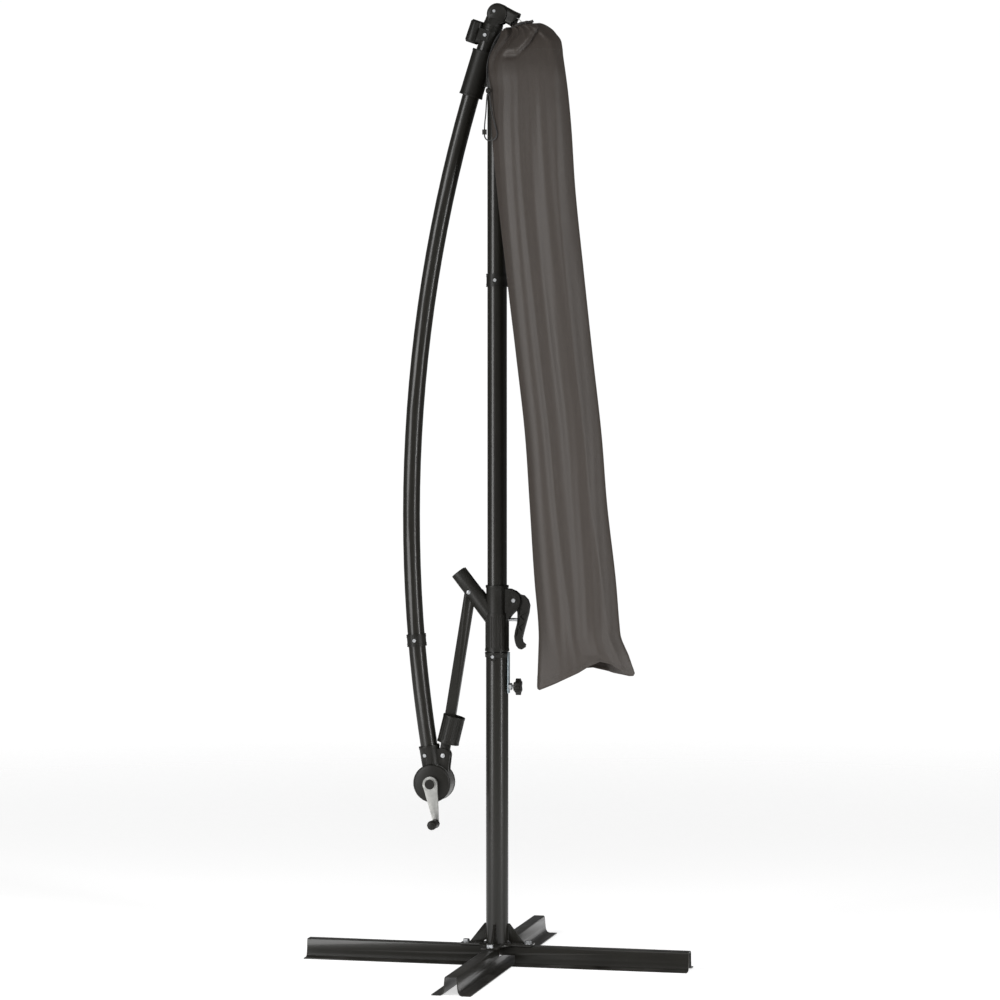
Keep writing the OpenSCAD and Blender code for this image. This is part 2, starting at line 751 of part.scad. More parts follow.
module crank_arm() {
  y1 = crank_face - 4.3;
  y0 = y1 - 8;
  color("#c9cbcc") difference() {
    union() {
      y_pin(crank_centre, 18.5, y0, y1);
      y_pin(crank_centre, 13, y0 - 3, y0 + 1);
      xz_plate(y0 + 1, y1 - 1) union() {
        polygon([[crank_centre[0] - 17.6, crank_centre[1] - 5], [crank_tip[0] - 6.6, crank_tip[1]],
                 [crank_tip[0] + 6.6, crank_tip[1]], [crank_centre[0] + 18.4, crank_centre[1] + 2]]);
        translate(crank_tip) circle(r = 6.6);
      }
    }
    y_pin(crank_centre, 3, y0 - 20, y1 + 2, 24);
    y_pin(crank_tip, 4, y0 - 20, y1 + 2, 32);
    y_pin(crank_centre, 12.3, y0 - 20, y0 - 0.5);
  }
  color("#c9cbcc") y_pin(crank_tip, 4, y0 - 44, y1 - 1, 32);
}

module crank_hub_cap() {
  y0 = crank_face - 12.3;
  color("#161718") {
    y_pin(crank_centre, 12, y0 - 4.5, y0 - 0.8);
    y_pin(crank_centre, 2.9, y0 - 1, crank_face + 0.8, 24);
  }
}

module crank_grip() {
  y1 = crank_face - 14;
  color("#161718") translate([crank_tip[0], y1, crank_tip[1]]) rotate([90, 0, 0]) difference() {
    rotate_extrude($fn = 48) polygon([[4.1, 0], [9.5, 0], [11.4, 3], [10.2, 10], [11.2, 28], [11.6, 40],
                                      [9.6, 46], [6, 47.5], [0, 47.5], [0, 44.5], [4.1, 44.5]]);
  }
}

// ---------- head ----------

module rope_sheave() {
  color("#d0d0cc") translate([head_pivot[0], 5.6, head_pivot[1]]) rotate([90, 0, 0]) rotate_extrude()
    polygon([[4.06, 0], [12, 0], [12, 2.6], [8.2, 4.6], [8.2, 6.6], [12, 8.6], [12, 11.2], [4.06, 11.2]]);
}

arm_tilt = 118.5;                   // from +Z towards +X
arm_len = 46;
arm_rise = 7.5;                     // of the arm's middle above the line through its pivot
hang_p = [42, 2303];

// A rectangle with rounded corners, centred
module round_rect(w, d, r) {
  square([w - 2 * r, d], center = true);
  square([w, d - 2 * r], center = true);
  for (x = [-1, 1], y = [-1, 1]) translate([x * (w / 2 - r), y * (d / 2 - r)]) circle(r = r);
}

module head_arm() {
  color("#26282b") difference() {
    union() {
      difference() {
        translate([head_pivot[0], 0, head_pivot[1]]) rotate([0, arm_tilt, 0]) translate([-arm_rise, 0, 4]) {
          linear_extrude(arm_len - 4) round_rect(36, 42, 9);
          translate([0, 0, arm_len - 9]) linear_extrude(5) round_rect(37.6, 43.6, 9.8);
        }
        y_pin(head_pivot, elbow_r + 0.5, -30, 30);
      }
      for (s = [-1, 1]) xz_plate(s > 0 ? 6.2 : -11.4, s > 0 ? 11.4 : -6.2) union() {
        translate(head_pivot) circle(r = 22.5);
        translate(head_pivot) rotate(90 - arm_tilt) translate([0, -10]) square([32, 30]);
      }
      for (s = [-1, 1]) xz_plate(s > 0 ? 8.2 : -13, s > 0 ? 13 : -8.2) union() {
        translate(hang_p) circle(r = 8, $fn = 32);
        translate(hang_p) rotate(135) translate([0, -7.5]) square([16, 15]);
      }
    }
    translate([head_pivot[0], 0, head_pivot[1]]) rotate([0, arm_tilt, 0]) {
      translate([-21.5, -8.2, 30]) cube([37, 16.4, 60]);
      cylinder(r = 5, h = 40);
    }
    y_pin(head_pivot, 4.05, -30, 30, 32);
    y_pin(hang_p, 3, -30, 30, 24);
  }
}

// ---------- canopy in its cover ----------

mouth = [66, -12, 2284];
// Stations of the cover: [z, centre x, centre y, half width, half depth]
cover_stations = [
  [2284, 66, -12, 26, 15], [2272, 80, -22, 68, 26], [2252, 86, -33, 82, 34], [2218, 85, -47, 91, 39],
  [2165, 92, -60, 96, 42], [2072, 99, -66, 99, 44], [1900, 113, -67, 98, 45], [1700, 135, -67, 97, 45],
  [1500, 158, -67, 96, 45], [1300, 181, -67, 96, 45], [1140, 193, -67, 96, 45], [944, 211, -67, 99, 46],
  [840, 222, -67, 103, 48], [740, 236, -67, 110, 50]];
hem_front = 700;
cover_sides = 32;

function cover_ring(s, inset, z) = [for (k = [0 : cover_sides - 1]) let (a = 360 * k / cover_sides)
  [s[1] + (s[3] - inset) * cos(a), s[2] + (s[4] - inset) * sin(a), z]];

// A loft through the stations from i0 to i1, inset by d0 at the top end and d along the rest
module cover_loft(i0, i1, inset, z_end) {
  n = cover_sides;
  rings = concat([for (i = [i0 : i1]) cover_ring(cover_stations[i], inset, cover_stations[i][0])],
                 [cover_ring(cover_stations[i1], inset, z_end)]);
  m = len(rings);
  pts = [for (r = rings) each r];
  polyhedron(pts, concat([[for (k = [0 : n - 1]) k]],
    [for (i = [0 : m - 2], k = [0 : n - 1])
      [i * n + k, i * n + (k + 1) % n, (i + 1) * n + (k + 1) % n, (i + 1) * n + k]],
    [[for (k = [n - 1 : -1 : 0]) (m - 1) * n + k]]), convexity = 4);
}

module storage_cover() {
  last = len(cover_stations) - 1;
  color("#57514c") difference() {
    cover_loft(0, last, 0, hem_front);
    cover_loft(1, last, cover_wall, hem_front - 20);
    translate([mouth[0], mouth[1], 2240]) cylinder(r = 12.5, h = 90, $fn = 24);
  }
}

module canopy_fabric() {
  color("#8a8378") difference() {
    cover_loft(4, 12, cover_wall + 1.5, 830);
    cover_loft(3, 12, cover_wall + 9, 800);
    translate([0, -200, 2150]) cube([300, 300, 100]);
  }
}

// Children with their Z down the folded canopy, from its hanging point
bundle_tilt = atan2(154, 1430);
module in_bundle() {
  translate([84, -62, 2210]) rotate([0, 180 - bundle_tilt, 0]) children();
}

module canopy_hub() {
  color("#26282b") {
    difference() {
      union() {
        xz_plate(-7.8, 7.8) translate(hang_p) circle(r = 8.5);
        hull() {
          translate([hang_p[0] - 3, -4, hang_p[1] - 8]) cube([8, 8, 4]);
          translate([mouth[0] - 4, mouth[1] - 4, mouth[2] - 2]) cube([8, 8, 6]);
        }
        translate([mouth[0] - 4, mouth[1] - 4, mouth[2] - 12]) cube([8, 8, 16]);
        hull() {
          translate([mouth[0] - 4, mouth[1] - 4, mouth[2] - 12]) cube([8, 8, 6]);
          translate([78, -68, 2214]) cube([12, 12, 4]);
        }
      }
      y_pin(hang_p, 3, -30, 30, 24);
    }
    in_bundle() difference() {
      cylinder(r = 19, h = 22);
      translate([0, 0, 12]) cylinder(r = 12.1, h = 30);
    }
  }
}

module canopy_pole() {
  color("#9a9da0") in_bundle() translate([0, 0, 12.1]) {
    ring(12, 10, 520);
    translate([0, 0, 380]) ring(18, 12.2, 40);
  }
}

module canopy_ribs() {
  color("#9a9da0") in_bundle() for (k = [0 : rib_count - 1]) {
    a = 360 * k / rib_count + 22.5;
    translate([50 * cos(a), 19 * sin(a), 60]) translate([-4, -3, 0]) cube([8, 6, 1290]);
  }
}

drawstring_r = 1.6;
// Way of the drawstring's tail down the edge of the cover, to the bead
tail_route = [[40, -12, 2290], [27, -18, 2288], [13, -24, 2279], [2, -30, 2262], [-6, -41, 2236],
              [-11, -52, 2211], [-11, -62, 2190], [-9, -70, 2170], [-6, -77, 2152], [-4, -80, 2144]];
bead_p = [-4, -80, 2137];
// Way of the free loop below the bead: down, round the bottom, through the lock and up again
loop_route = [[-2, -81, 2129], [0, -82, 2122], [2, -83, 2110], [5, -85, 2094], [9, -88, 2076],
              [14, -91, 2058], [19, -94, 2044], [22, -96, 2033], [20, -96, 2024], [13, -94, 2018],
              [4, -91, 2016], [-5, -88, 2018], [-10, -86, 2023], [-12, -85, 2030], [-12, -85, 2044],
              [-11, -85, 2060], [-9, -84, 2080], [-8, -83, 2100], [-7, -82, 2116], [-6, -81, 2129]];

module drawstring() {
  color("#141414") {
    translate([mouth[0], mouth[1], mouth[2] + 2]) scale([1, 0.62, 1])
      rotate_extrude($fn = 32) translate([27, 0]) circle(r = 1.6, $fn = 8);
    swept_cord(tail_route, drawstring_r);
    translate(bead_p) sphere(r = 6, $fn = 32);
  }
}

module drawstring_loop() {
  color("#141414") swept_cord(loop_route, drawstring_r);
}

module cord_lock() {
  color("#141414") difference() {
    translate([-12, -85, 2031]) cylinder(r = 5.5, h = 12, $fn = 32);
    translate([-12, -85, 2020]) cylinder(r = 1.8, h = 40, $fn = 24);
  }
}

// ---------- output ----------

base_bar_long();
base_bar_cross();
foot_plate();
foot_gussets();
foot_bolts();
foot_nuts();
lower_mast_tube();
lower_mast_collar();
collar_screw();
mast_thrust_bush();
clamp_strip();
clamp_nut();
clamp_knob();
clamp_stud();
mast_tube_lower();
mast_tube_upper();
mast_coupler_insert();
mast_coupler_ring();
mast_coupler_screw();
mast_top_fork();
guide_pivot_pin();
slider_housing();
strut_pivot_screw();
lever_pin();
clamp_shoe();
lever_stop_rod();
clamp_lever();
strut_bar();
strut_knuckle();
locking_sleeve();
guide_sleeve();
guide_liner();
boom_tube_lower();
boom_tube_upper();
boom_coupler_insert();
boom_coupler_ring();
boom_coupler_screw();
crank_housing();
crank_front_cover();
crank_back_cover();
strut_end_bolt();
stop_block();
stop_block_screw();
head_socket();
head_bolt();
hoist_cord();
winding_drum();
crank_arm();
crank_hub_cap();
crank_grip();
rope_sheave();
head_arm();
canopy_hub();
canopy_pole();
canopy_ribs();
canopy_fabric();
storage_cover();
drawstring();
drawstring_loop();
cord_lock();
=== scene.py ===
"""The looks of a folded cantilever parasol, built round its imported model.

Every length is in metres, in the frame of the model: the origin is on the ground under the
mast, Z is up, X lies in the plane of the boom with +X on the canopy side, and -Y is the front.
"""

import json
import math

import bmesh
import bpy
import numpy as np
from mathutils import Matrix, Vector


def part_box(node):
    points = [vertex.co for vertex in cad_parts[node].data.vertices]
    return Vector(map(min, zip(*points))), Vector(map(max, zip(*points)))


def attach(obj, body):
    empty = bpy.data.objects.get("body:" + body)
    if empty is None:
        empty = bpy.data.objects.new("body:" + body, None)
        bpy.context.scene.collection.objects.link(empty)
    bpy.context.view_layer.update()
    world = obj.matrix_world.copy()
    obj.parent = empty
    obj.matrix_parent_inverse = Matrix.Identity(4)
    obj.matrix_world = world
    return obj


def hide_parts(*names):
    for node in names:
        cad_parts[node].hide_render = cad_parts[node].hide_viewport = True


bl_info = {
    "name": "Cantilever parasol",
    "version": (1, 0, 0),
    "blender": (4, 5, 0),
    "location": "View3D > Sidebar > Parasol",
    "description": "Builds the cover, cords, fasteners, finishes and stage of a folded parasol",
    "category": "Object",
}

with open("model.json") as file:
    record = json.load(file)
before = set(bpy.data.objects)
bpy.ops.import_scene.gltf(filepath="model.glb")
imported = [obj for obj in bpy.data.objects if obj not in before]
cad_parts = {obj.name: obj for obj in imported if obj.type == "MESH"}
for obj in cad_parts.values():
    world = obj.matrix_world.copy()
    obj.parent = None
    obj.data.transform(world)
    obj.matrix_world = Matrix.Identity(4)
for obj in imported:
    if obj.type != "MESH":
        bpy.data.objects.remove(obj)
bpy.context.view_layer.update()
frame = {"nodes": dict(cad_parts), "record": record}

MM = 0.001
TAU = 2 * math.pi


# ---------------------------------------------------------------- settings


class CoverSettings(bpy.types.PropertyGroup):
    """Sizes and colour of the storage cover"""

    colour: bpy.props.FloatVectorProperty(
        name="Cloth colour", description="Colour of the cover's woven cloth",
        subtype="COLOR", size=3, min=0, max=1, default=(0.0455, 0.0370, 0.0312))
    cloth: bpy.props.FloatProperty(
        name="Cloth thickness", description="Thickness of the cover's cloth",
        subtype="DISTANCE", unit="LENGTH", default=0.0012, min=0.0004, max=0.003)
    fold: bpy.props.FloatProperty(
        name="Fold depth", description="Depth of the long soft folds down the cover",
        subtype="DISTANCE", unit="LENGTH", default=0.0078, min=0, max=0.012)
    columns: bpy.props.IntProperty(
        name="Columns", description="Faces round the cover", default=180, min=48, max=240)
    rows: bpy.props.IntProperty(
        name="Rows", description="Faces from the mouth to the hem", default=200, min=60, max=260)


class CordSettings(bpy.types.PropertyGroup):
    """Sizes of the drawstring"""

    diameter: bpy.props.FloatProperty(
        name="Cord diameter", description="Diameter of the drawstring",
        subtype="DISTANCE", unit="LENGTH", default=0.0032, min=0.002, max=0.006)
    sides: bpy.props.IntProperty(
        name="Sides", description="Faces round a cord", default=12, min=6, max=24)


class FinishSettings(bpy.types.PropertyGroup):
    """Colours and edge radii of the hard parts"""

    coat: bpy.props.FloatVectorProperty(
        name="Powder coat", description="Colour of the coated steel",
        subtype="COLOR", size=3, min=0, max=1, default=(0.0105, 0.0098, 0.0076))
    moulding: bpy.props.FloatVectorProperty(
        name="Mouldings", description="Colour of the black mouldings",
        subtype="COLOR", size=3, min=0, max=1, default=(0.0080, 0.0075, 0.0058))
    metal_edge: bpy.props.FloatProperty(
        name="Sheet edge", description="Radius on the edges of sheet metal",
        subtype="DISTANCE", unit="LENGTH", default=0.0006, min=0, max=0.002)
    moulded_edge: bpy.props.FloatProperty(
        name="Moulded edge", description="Radius on the edges of mouldings",
        subtype="DISTANCE", unit="LENGTH", default=0.0009, min=0, max=0.003)


class StageSettings(bpy.types.PropertyGroup):
    """Camera"""

    bearing: bpy.props.FloatProperty(
        name="Bearing", description="Camera's angle round the mast from straight in front",
        subtype="ANGLE", default=math.radians(13))
    distance: bpy.props.FloatProperty(
        name="Distance", description="Camera's distance from the mast",
        subtype="DISTANCE", unit="LENGTH", default=9.0, min=2, max=30)
    height: bpy.props.FloatProperty(
        name="Height", description="Camera's height above the ground",
        subtype="DISTANCE", unit="LENGTH", default=1.5, min=0, max=5)
    pitch: bpy.props.FloatProperty(
        name="Pitch", description="How far the camera looks down",
        subtype="ANGLE", default=math.radians(2.277))
    lens: bpy.props.FloatProperty(
        name="Lens", description="Focal length of the camera, in millimetres",
        default=132.2, min=20, max=300)


# ---------------------------------------------------------------- shaders


class Value:
    """A socket of a shader tree that takes part in Python expressions."""

    def __init__(self, finish, socket):
        self.finish, self.socket = finish, socket

    def _with(self, operation, *operands):
        node = self.finish.tree.nodes.new("ShaderNodeMath")
        node.operation = operation
        for slot, operand in zip(node.inputs, operands):
            self.finish.feed(slot, operand)
        return Value(self.finish, node.outputs[0])

    def __add__(self, other):
        return self._with("ADD", self, other)

    def __sub__(self, other):
        return self._with("SUBTRACT", self, other)

    def __rsub__(self, other):
        return self._with("SUBTRACT", other, self)

    def __mul__(self, other):
        return self._with("MULTIPLY", self, other)

    def __pow__(self, other):
        return self._with("POWER", self, other)

    __radd__, __rmul__ = __add__, __mul__

    def sine(self):
        return self._with("SINE", self)

    def absolute(self):
        return self._with("ABSOLUTE", self)

    def above(self, edge, width):
        """0 below edge, 1 above edge + width, and a ramp between them."""
        node = self._with("MULTIPLY_ADD", self, 1 / width, -edge / width)
        node.socket.node.use_clamp = True
        return node


class Finish:
    """A material while it is being built."""

    def __init__(self, name, **sockets):
        self.material = bpy.data.materials.new(name)
        self.material.use_nodes = True
        self.tree = self.material.node_tree
        self.shader = self.tree.nodes["Principled BSDF"]
        for key, value in sockets.items():
            socket = self.shader.inputs[key.replace("_", " ").title().replace("Ior", "IOR")]
            socket.default_value = (*value, 1) if isinstance(value, tuple) and len(value) == 3 else value

    def feed(self, socket, value):
        if isinstance(value, Value):
            self.tree.links.new(value.socket, socket)
        else:
            socket.default_value = value

    def node(self, kind, settings=None, inputs=None, output=0):
        """Adds a node: its settings first, then its sockets, and gives one output back."""
        node = self.tree.nodes.new(kind)
        for key, value in (settings or {}).items():
            setattr(node, key, value)
        for key, value in (inputs or {}).items():
            self.feed(node.inputs[key], value)
        return Value(self, node.outputs[output])

    def place(self):
        return self.node("ShaderNodeTexCoord", output="Object")

    def uv(self):
        return self.node("ShaderNodeTexCoord", output="UV")

    def axes(self, vector):
        split = self.node("ShaderNodeSeparateXYZ", inputs={0: vector}).socket.node
        return [Value(self, socket) for socket in split.outputs]

    def stretched(self, vector, scale):
        return self.node("ShaderNodeMapping", inputs={"Vector": vector, "Scale": scale})

    def noise(self, vector, scale, detail=2.0, rough=0.5):
        return self.node("ShaderNodeTexNoise", inputs={
            "Vector": vector, "Scale": scale, "Detail": detail, "Roughness": rough})

    def mix(self, factor, first, second):
        node = self.tree.nodes.new("ShaderNodeMix")
        node.data_type = "RGBA"
        self.feed(node.inputs[0], factor)
        for index, colour in ((6, first), (7, second)):
            self.feed(node.inputs[index], colour if isinstance(colour, Value) else (*colour[:3], 1))
        return Value(self, node.outputs[2])

    def colour(self, value):
        self.feed(self.shader.inputs["Base Color"], value)

    def rough(self, value):
        self.feed(self.shader.inputs["Roughness"], value)

    def bump(self, height, depth, strength=1.0):
        self.feed(self.shader.inputs["Normal"], self.node("ShaderNodeBump", inputs={
            "Height": height, "Distance": depth, "Strength": strength}))


def scaled(colour, factor):
    return tuple(min(1, channel * factor) for channel in colour[:3])


def powder_coat(colour):
    """Satin powder coat: fine orange peel, faint dust on what faces up, lighter rubbed spots."""
    f = Finish("powder_coat", specular_ior_level=0.28, coat_roughness=0.12)
    at = f.place()
    peel = f.noise(at, 420, 3)
    cloud = f.noise(at, 9, 4, 0.6)
    speck = f.noise(at, 130, 2).above(0.66, 0.08)
    up = f.axes(f.node("ShaderNodeNewGeometry", output="Normal"))[2]
    low = 1 - f.axes(at)[2].above(0.02, 0.25)
    dust = up.above(0.75, 0.2) * low * cloud.above(0.35, 0.4)
    body = f.mix(cloud, scaled(colour, 0.82), scaled(colour, 1.22))
    body = f.mix(speck * 0.14, body, scaled(colour, 3.0))
    f.colour(f.mix(dust * 0.3, body, (0.16, 0.155, 0.145)))
    f.rough(0.27 + cloud * 0.12 + dust * 0.3 + speck * 0.08)
    f.feed(f.shader.inputs["Coat Weight"], 0.22 - dust * 0.2)
    f.bump(peel, 0.00004, 0.08)
    return f


def moulding(name, colour, grain=700, low=0.36):
    """Injection-moulded plastic: spark-eroded grain, flow marks and lighter scuffs."""
    f = Finish(name, specular_ior_level=0.26)
    at = f.place()
    fine = f.noise(at, grain, 4, 0.7)
    flow = f.noise(f.stretched(at, (1, 1, 0.25)), 24, 3, 0.55)
    scuff = f.noise(f.stretched(at, (1, 1, 4)), 60, 5, 0.75).above(0.63, 0.1)
    body = f.mix(flow, scaled(colour, 0.75), scaled(colour, 1.35))
    f.colour(f.mix(scuff * 0.25, body, scaled(colour, 4)))
    f.rough(low + flow * 0.16 + scuff * 0.14)
    f.bump(fine, 0.00015, 0.4)
    return f


def plated(name, colour, spread=0.2, low=0.2, grain=260):
    """Bright or dull plated steel with a cloudy passivated skin and fine drawing lines."""
    f = Finish(name, metallic=1.0)
    at = f.place()
    cloud = f.noise(at, 55, 4, 0.65)
    lines = f.noise(f.stretched(at, (8, 8, 0.6)), grain, 2)
    f.colour(f.mix(cloud, scaled(colour, 1 - spread), scaled(colour, 1 + spread * 0.5)))
    f.rough(low + cloud * 0.2 + lines * 0.08)
    f.bump(lines, 0.00006, 0.3)
    return f


def cast_metal(name, colour):
    """Sand-grained light alloy casting, tumbled smooth, with duller hollows."""
    f = Finish(name, metallic=0.75)
    at = f.place()
    pits = f.node("ShaderNodeTexVoronoi", inputs={"Vector": at, "Scale": 900.0})
    cloud = f.noise(at, 45, 5, 0.6)
    f.colour(f.mix(cloud.above(0.35, 0.4), scaled(colour, 0.72), scaled(colour, 1.1)))
    f.rough(0.34 + cloud * 0.18)
    f.bump(pits, 0.0001, 0.45)
    return f


def housing_finish(colour, centre):
    """Black moulding whose drum, inside a circle round the crank's shaft, is grey metal."""
    f = moulding("crank_housing", colour)
    x, _, z = f.axes(f.place())
    off_x = x - centre[0]
    off_z = z - centre[1]
    reach = (off_x * off_x + off_z * off_z) ** 0.5
    drum = 1 - reach.above(0.04625, 0.0003)
    black = f.shader.inputs["Base Color"].links[0].from_socket
    f.colour(f.mix(drum, Value(f, black), (0.15, 0.15, 0.145)))
    f.feed(f.shader.inputs["Metallic"], drum * 0.7)
    return f


def woven(name, colour, thread=0.00055, rough=0.52, sheen_streak_amount=0.5):
    """Plain-woven polyester: two crossed sets of threads, slubs, and long faint streaks that are glossier and
    painted lighter, a painted sheen.
    """
    f = Finish(name, sheen_weight=0.1, sheen_roughness=0.4, sheen_tint=scaled(colour, 5.5),
               specular_ior_level=0.42)
    uv = f.uv()
    across, along, _ = f.axes(uv)
    warp = (across * (TAU / thread)).sine()
    weft = (along * (TAU / thread)).sine()
    weave = warp * weft * 0.5 + 0.5
    slub = f.noise(f.stretched(uv, (900, 30, 1)), 1.0, 3, 0.6)
    pick = f.noise(f.stretched(uv, (30, 900, 1)), 1.0, 3, 0.6)
    # long bands down the cloth: their lower roughness is the cloth's own gloss, and the lighter colour they
    # give is a painted sheen
    sheen_streak = f.noise(f.stretched(uv, (26, 1.6, 1)), 1.0, 4, 0.55)
    cloud = f.noise(uv, 7, 3)
    tone = slub * 0.35 + pick * 0.25 + sheen_streak * sheen_streak_amount * 0.5 + cloud * 0.2
    body = f.mix(tone.above(0.3, 0.55), scaled(colour, 0.82), scaled(colour, 1.2))
    f.colour(f.mix(weave * 0.25, body, scaled(colour, 0.6)))
    f.rough(rough - sheen_streak * 0.12 + weave * 0.06)
    f.bump(weave * 0.6 + slub * 0.5 + pick * 0.3, 0.00022, 0.5)
    return f


def braided(name, colour, lay=0.0022):
    """Braided cord: two sets of strands that cross round the cord, and a matt fuzz; its colour has painted
    shade in the grooves between strands and a painted highlight on their crowns.
    """
    f = Finish(name, sheen_weight=0.3, sheen_roughness=0.5)
    around, along, _ = f.axes(f.uv())
    left = ((along * (TAU / lay)) + around * (TAU * 4)).sine()
    right = ((along * (TAU / lay)) - around * (TAU * 4)).sine()
    strand = (left * right) * 0.5 + 0.5
    fuzz = f.noise(f.place(), 1800, 2)
    # darker where the strands dip and lighter where they rise: painted shade in the braid's grooves and a
    # painted highlight on its crowns
    f.colour(f.mix(strand, scaled(colour, 0.6), scaled(colour, 1.7)))
    f.rough(0.7 + fuzz * 0.2)
    f.bump(strand * 0.8 + fuzz * 0.3, 0.0004, 0.7)
    return f


def stage_floor():
    """Pale studio floor, barely mottled, which fades out far from the object."""
    f = Finish("studio_floor", specular_ior_level=0.15)
    at = f.place()
    cloud = f.noise(at, 1.5, 4)
    x, y, _ = f.axes(at)
    reach = (x * x + y * y) ** 0.5
    f.colour(f.mix(cloud, (0.90, 0.90, 0.90), (0.94, 0.94, 0.94)))
    f.rough(0.75 + cloud * 0.1)
    f.feed(f.shader.inputs["Alpha"], 1 - reach.above(1.6, 4.0))
    f.shader.inputs["Emission Color"].default_value = (1, 1, 1, 1)
    f.shader.inputs["Emission Strength"].default_value = 0.62
    return f


FINISHES = {}


def make_finishes(scene):
    """Makes each material once, under the record's own slot names."""
    hard = scene.parasol_finish
    coat, black = tuple(hard.coat), tuple(hard.moulding)
    lo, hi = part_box("crank_front_cover")
    shaft = ((lo[0] + hi[0]) / 2, (lo[2] + hi[2]) / 2)
    FINISHES.update({
        "powder_coat": powder_coat(coat),
        "black_plastic": moulding("black_plastic", black),
        "crank_housing": housing_finish(black, shaft),
        "dark_plastic": moulding("dark_plastic", scaled(black, 3), low=0.5),
        "zinc": plated("zinc", (0.50, 0.51, 0.52), low=0.26),
        "galvanised": plated("galvanised", (0.50, 0.58, 0.62), spread=0.3, low=0.3, grain=90),
        "inner_steel": plated("inner_steel", (0.09, 0.09, 0.095), low=0.4),
        "rib_steel": plated("rib_steel", (0.34, 0.35, 0.36), low=0.35),
        "cast_silver": cast_metal("cast_silver", (0.40, 0.40, 0.385)),
        "white_nylon": moulding("white_nylon", (0.62, 0.62, 0.59), low=0.4),
        "hoist_line": braided("hoist_line", (0.62, 0.62, 0.57), lay=0.0016),
        "black_cord": braided("black_cord", (0.012, 0.012, 0.012)),
        "cover_cloth": woven("cover_cloth", tuple(scene.parasol_cover.colour)),
        "canopy_cloth": woven("canopy_cloth", (0.22, 0.20, 0.175), thread=0.0007, sheen_streak_amount=0.3),
        "cover_thread": braided("cover_thread", (0.05, 0.045, 0.04), lay=0.0008),
    })


# ---------------------------------------------------------------- meshes


def new_piece(name, vertices, faces, finish, body, uv=None, smooth=True):
    """A finished piece at the origin, with its place in its mesh, riding on a body."""
    mesh = bpy.data.meshes.new(name)
    mesh.from_pydata([tuple(v) for v in vertices], [], [tuple(int(i) for i in f) for f in faces])
    mesh.update()
    if uv is not None:
        layer = mesh.uv_layers.new(name="UVMap")
        corners = np.empty(len(mesh.loops), dtype=np.int32)
        mesh.loops.foreach_get("vertex_index", corners)
        layer.data.foreach_set("uv", np.asarray(uv, dtype=np.float32)[corners].ravel())
    return adopt(bpy.data.objects.new(name, mesh), finish, body, smooth)


def adopt(piece, finish, body, smooth=True):
    """Links a piece, gives it its finish and lets it ride on its body."""
    if piece.name not in bpy.context.scene.collection.objects:
        bpy.context.scene.collection.objects.link(piece)
    piece.data.materials.clear()
    piece.data.materials.append(FINISHES[finish].material)
    if smooth:
        piece.data.shade_smooth()
    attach(piece, body)
    return piece


def body_of_node(node):
    bodies = frame["record"]["behaviour"]["bodies"]
    return next(body for body, nodes in bodies.items() if node in nodes)


def slot_of_node(node):
    return next(part["material_slot"] for part in frame["record"]["subparts"] if part["node"] == node)


def rounded_copy(node, edge, finish=None, sharp=32):
    """The CAD node's shape with merged faces, smooth round surfaces and softened edges."""
    source = frame["nodes"][node]
    work = bmesh.new()
    work.from_mesh(source.data)
    bmesh.ops.remove_doubles(work, verts=work.verts, dist=2e-6)
    bmesh.ops.dissolve_limit(work, angle_limit=math.radians(0.6), verts=work.verts, edges=work.edges)
    mesh = bpy.data.meshes.new(f"{node}_finished")
    work.to_mesh(mesh)
    work.free()
    piece = bpy.data.objects.new(f"{node}_finished", mesh)
    adopt(piece, finish or slot_of_node(node), body_of_node(node), smooth=False)
    if edge:
        bevel = piece.modifiers.new("soft edges", "BEVEL")
        bevel.width, bevel.segments = edge, 2
        bevel.limit_method, bevel.angle_limit = "ANGLE", math.radians(sharp)
        bevel.use_clamp_overlap = True
        bevel.miter_outer = "MITER_ARC"
        bake_modifiers(piece)
    piece.data.shade_smooth()
    piece.data.set_sharp_from_angle(angle=math.radians(28))
    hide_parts(node)
    return piece


def bake_modifiers(piece):
    """Replaces the piece's mesh by its evaluated one and removes the modifiers."""
    graph = bpy.context.evaluated_depsgraph_get()
    graph.update()
    mesh = bpy.data.meshes.new_from_object(piece.evaluated_get(graph))
    piece.modifiers.clear()
    piece.data = mesh
    return piece


def smooth_path(points, step):
    """Points at an even spacing along a smooth curve through the given points."""
    p = np.array(points, dtype=float)
    ends = np.vstack([2 * p[0] - p[1], p, 2 * p[-1] - p[-2]])
    fine = []
    for i in range(len(p) - 1):
        a, b, c, d = ends[i:i + 4]
        for t in np.linspace(0, 1, 12, endpoint=False):
            fine.append(0.5 * (2 * b + (c - a) * t + (2 * a - 5 * b + 4 * c - d) * t ** 2
                               + (3 * b - a - 3 * c + d) * t ** 3))
    fine = np.array(fine + [p[-1]])
    reach = np.concatenate([[0], np.cumsum(np.linalg.norm(np.diff(fine, axis=0), axis=1))])
    even = np.linspace(0, reach[-1], max(2, int(round(reach[-1] / step)) + 1))
    return np.column_stack([np.interp(even, reach, fine[:, k]) for k in range(3)]), reach[-1]


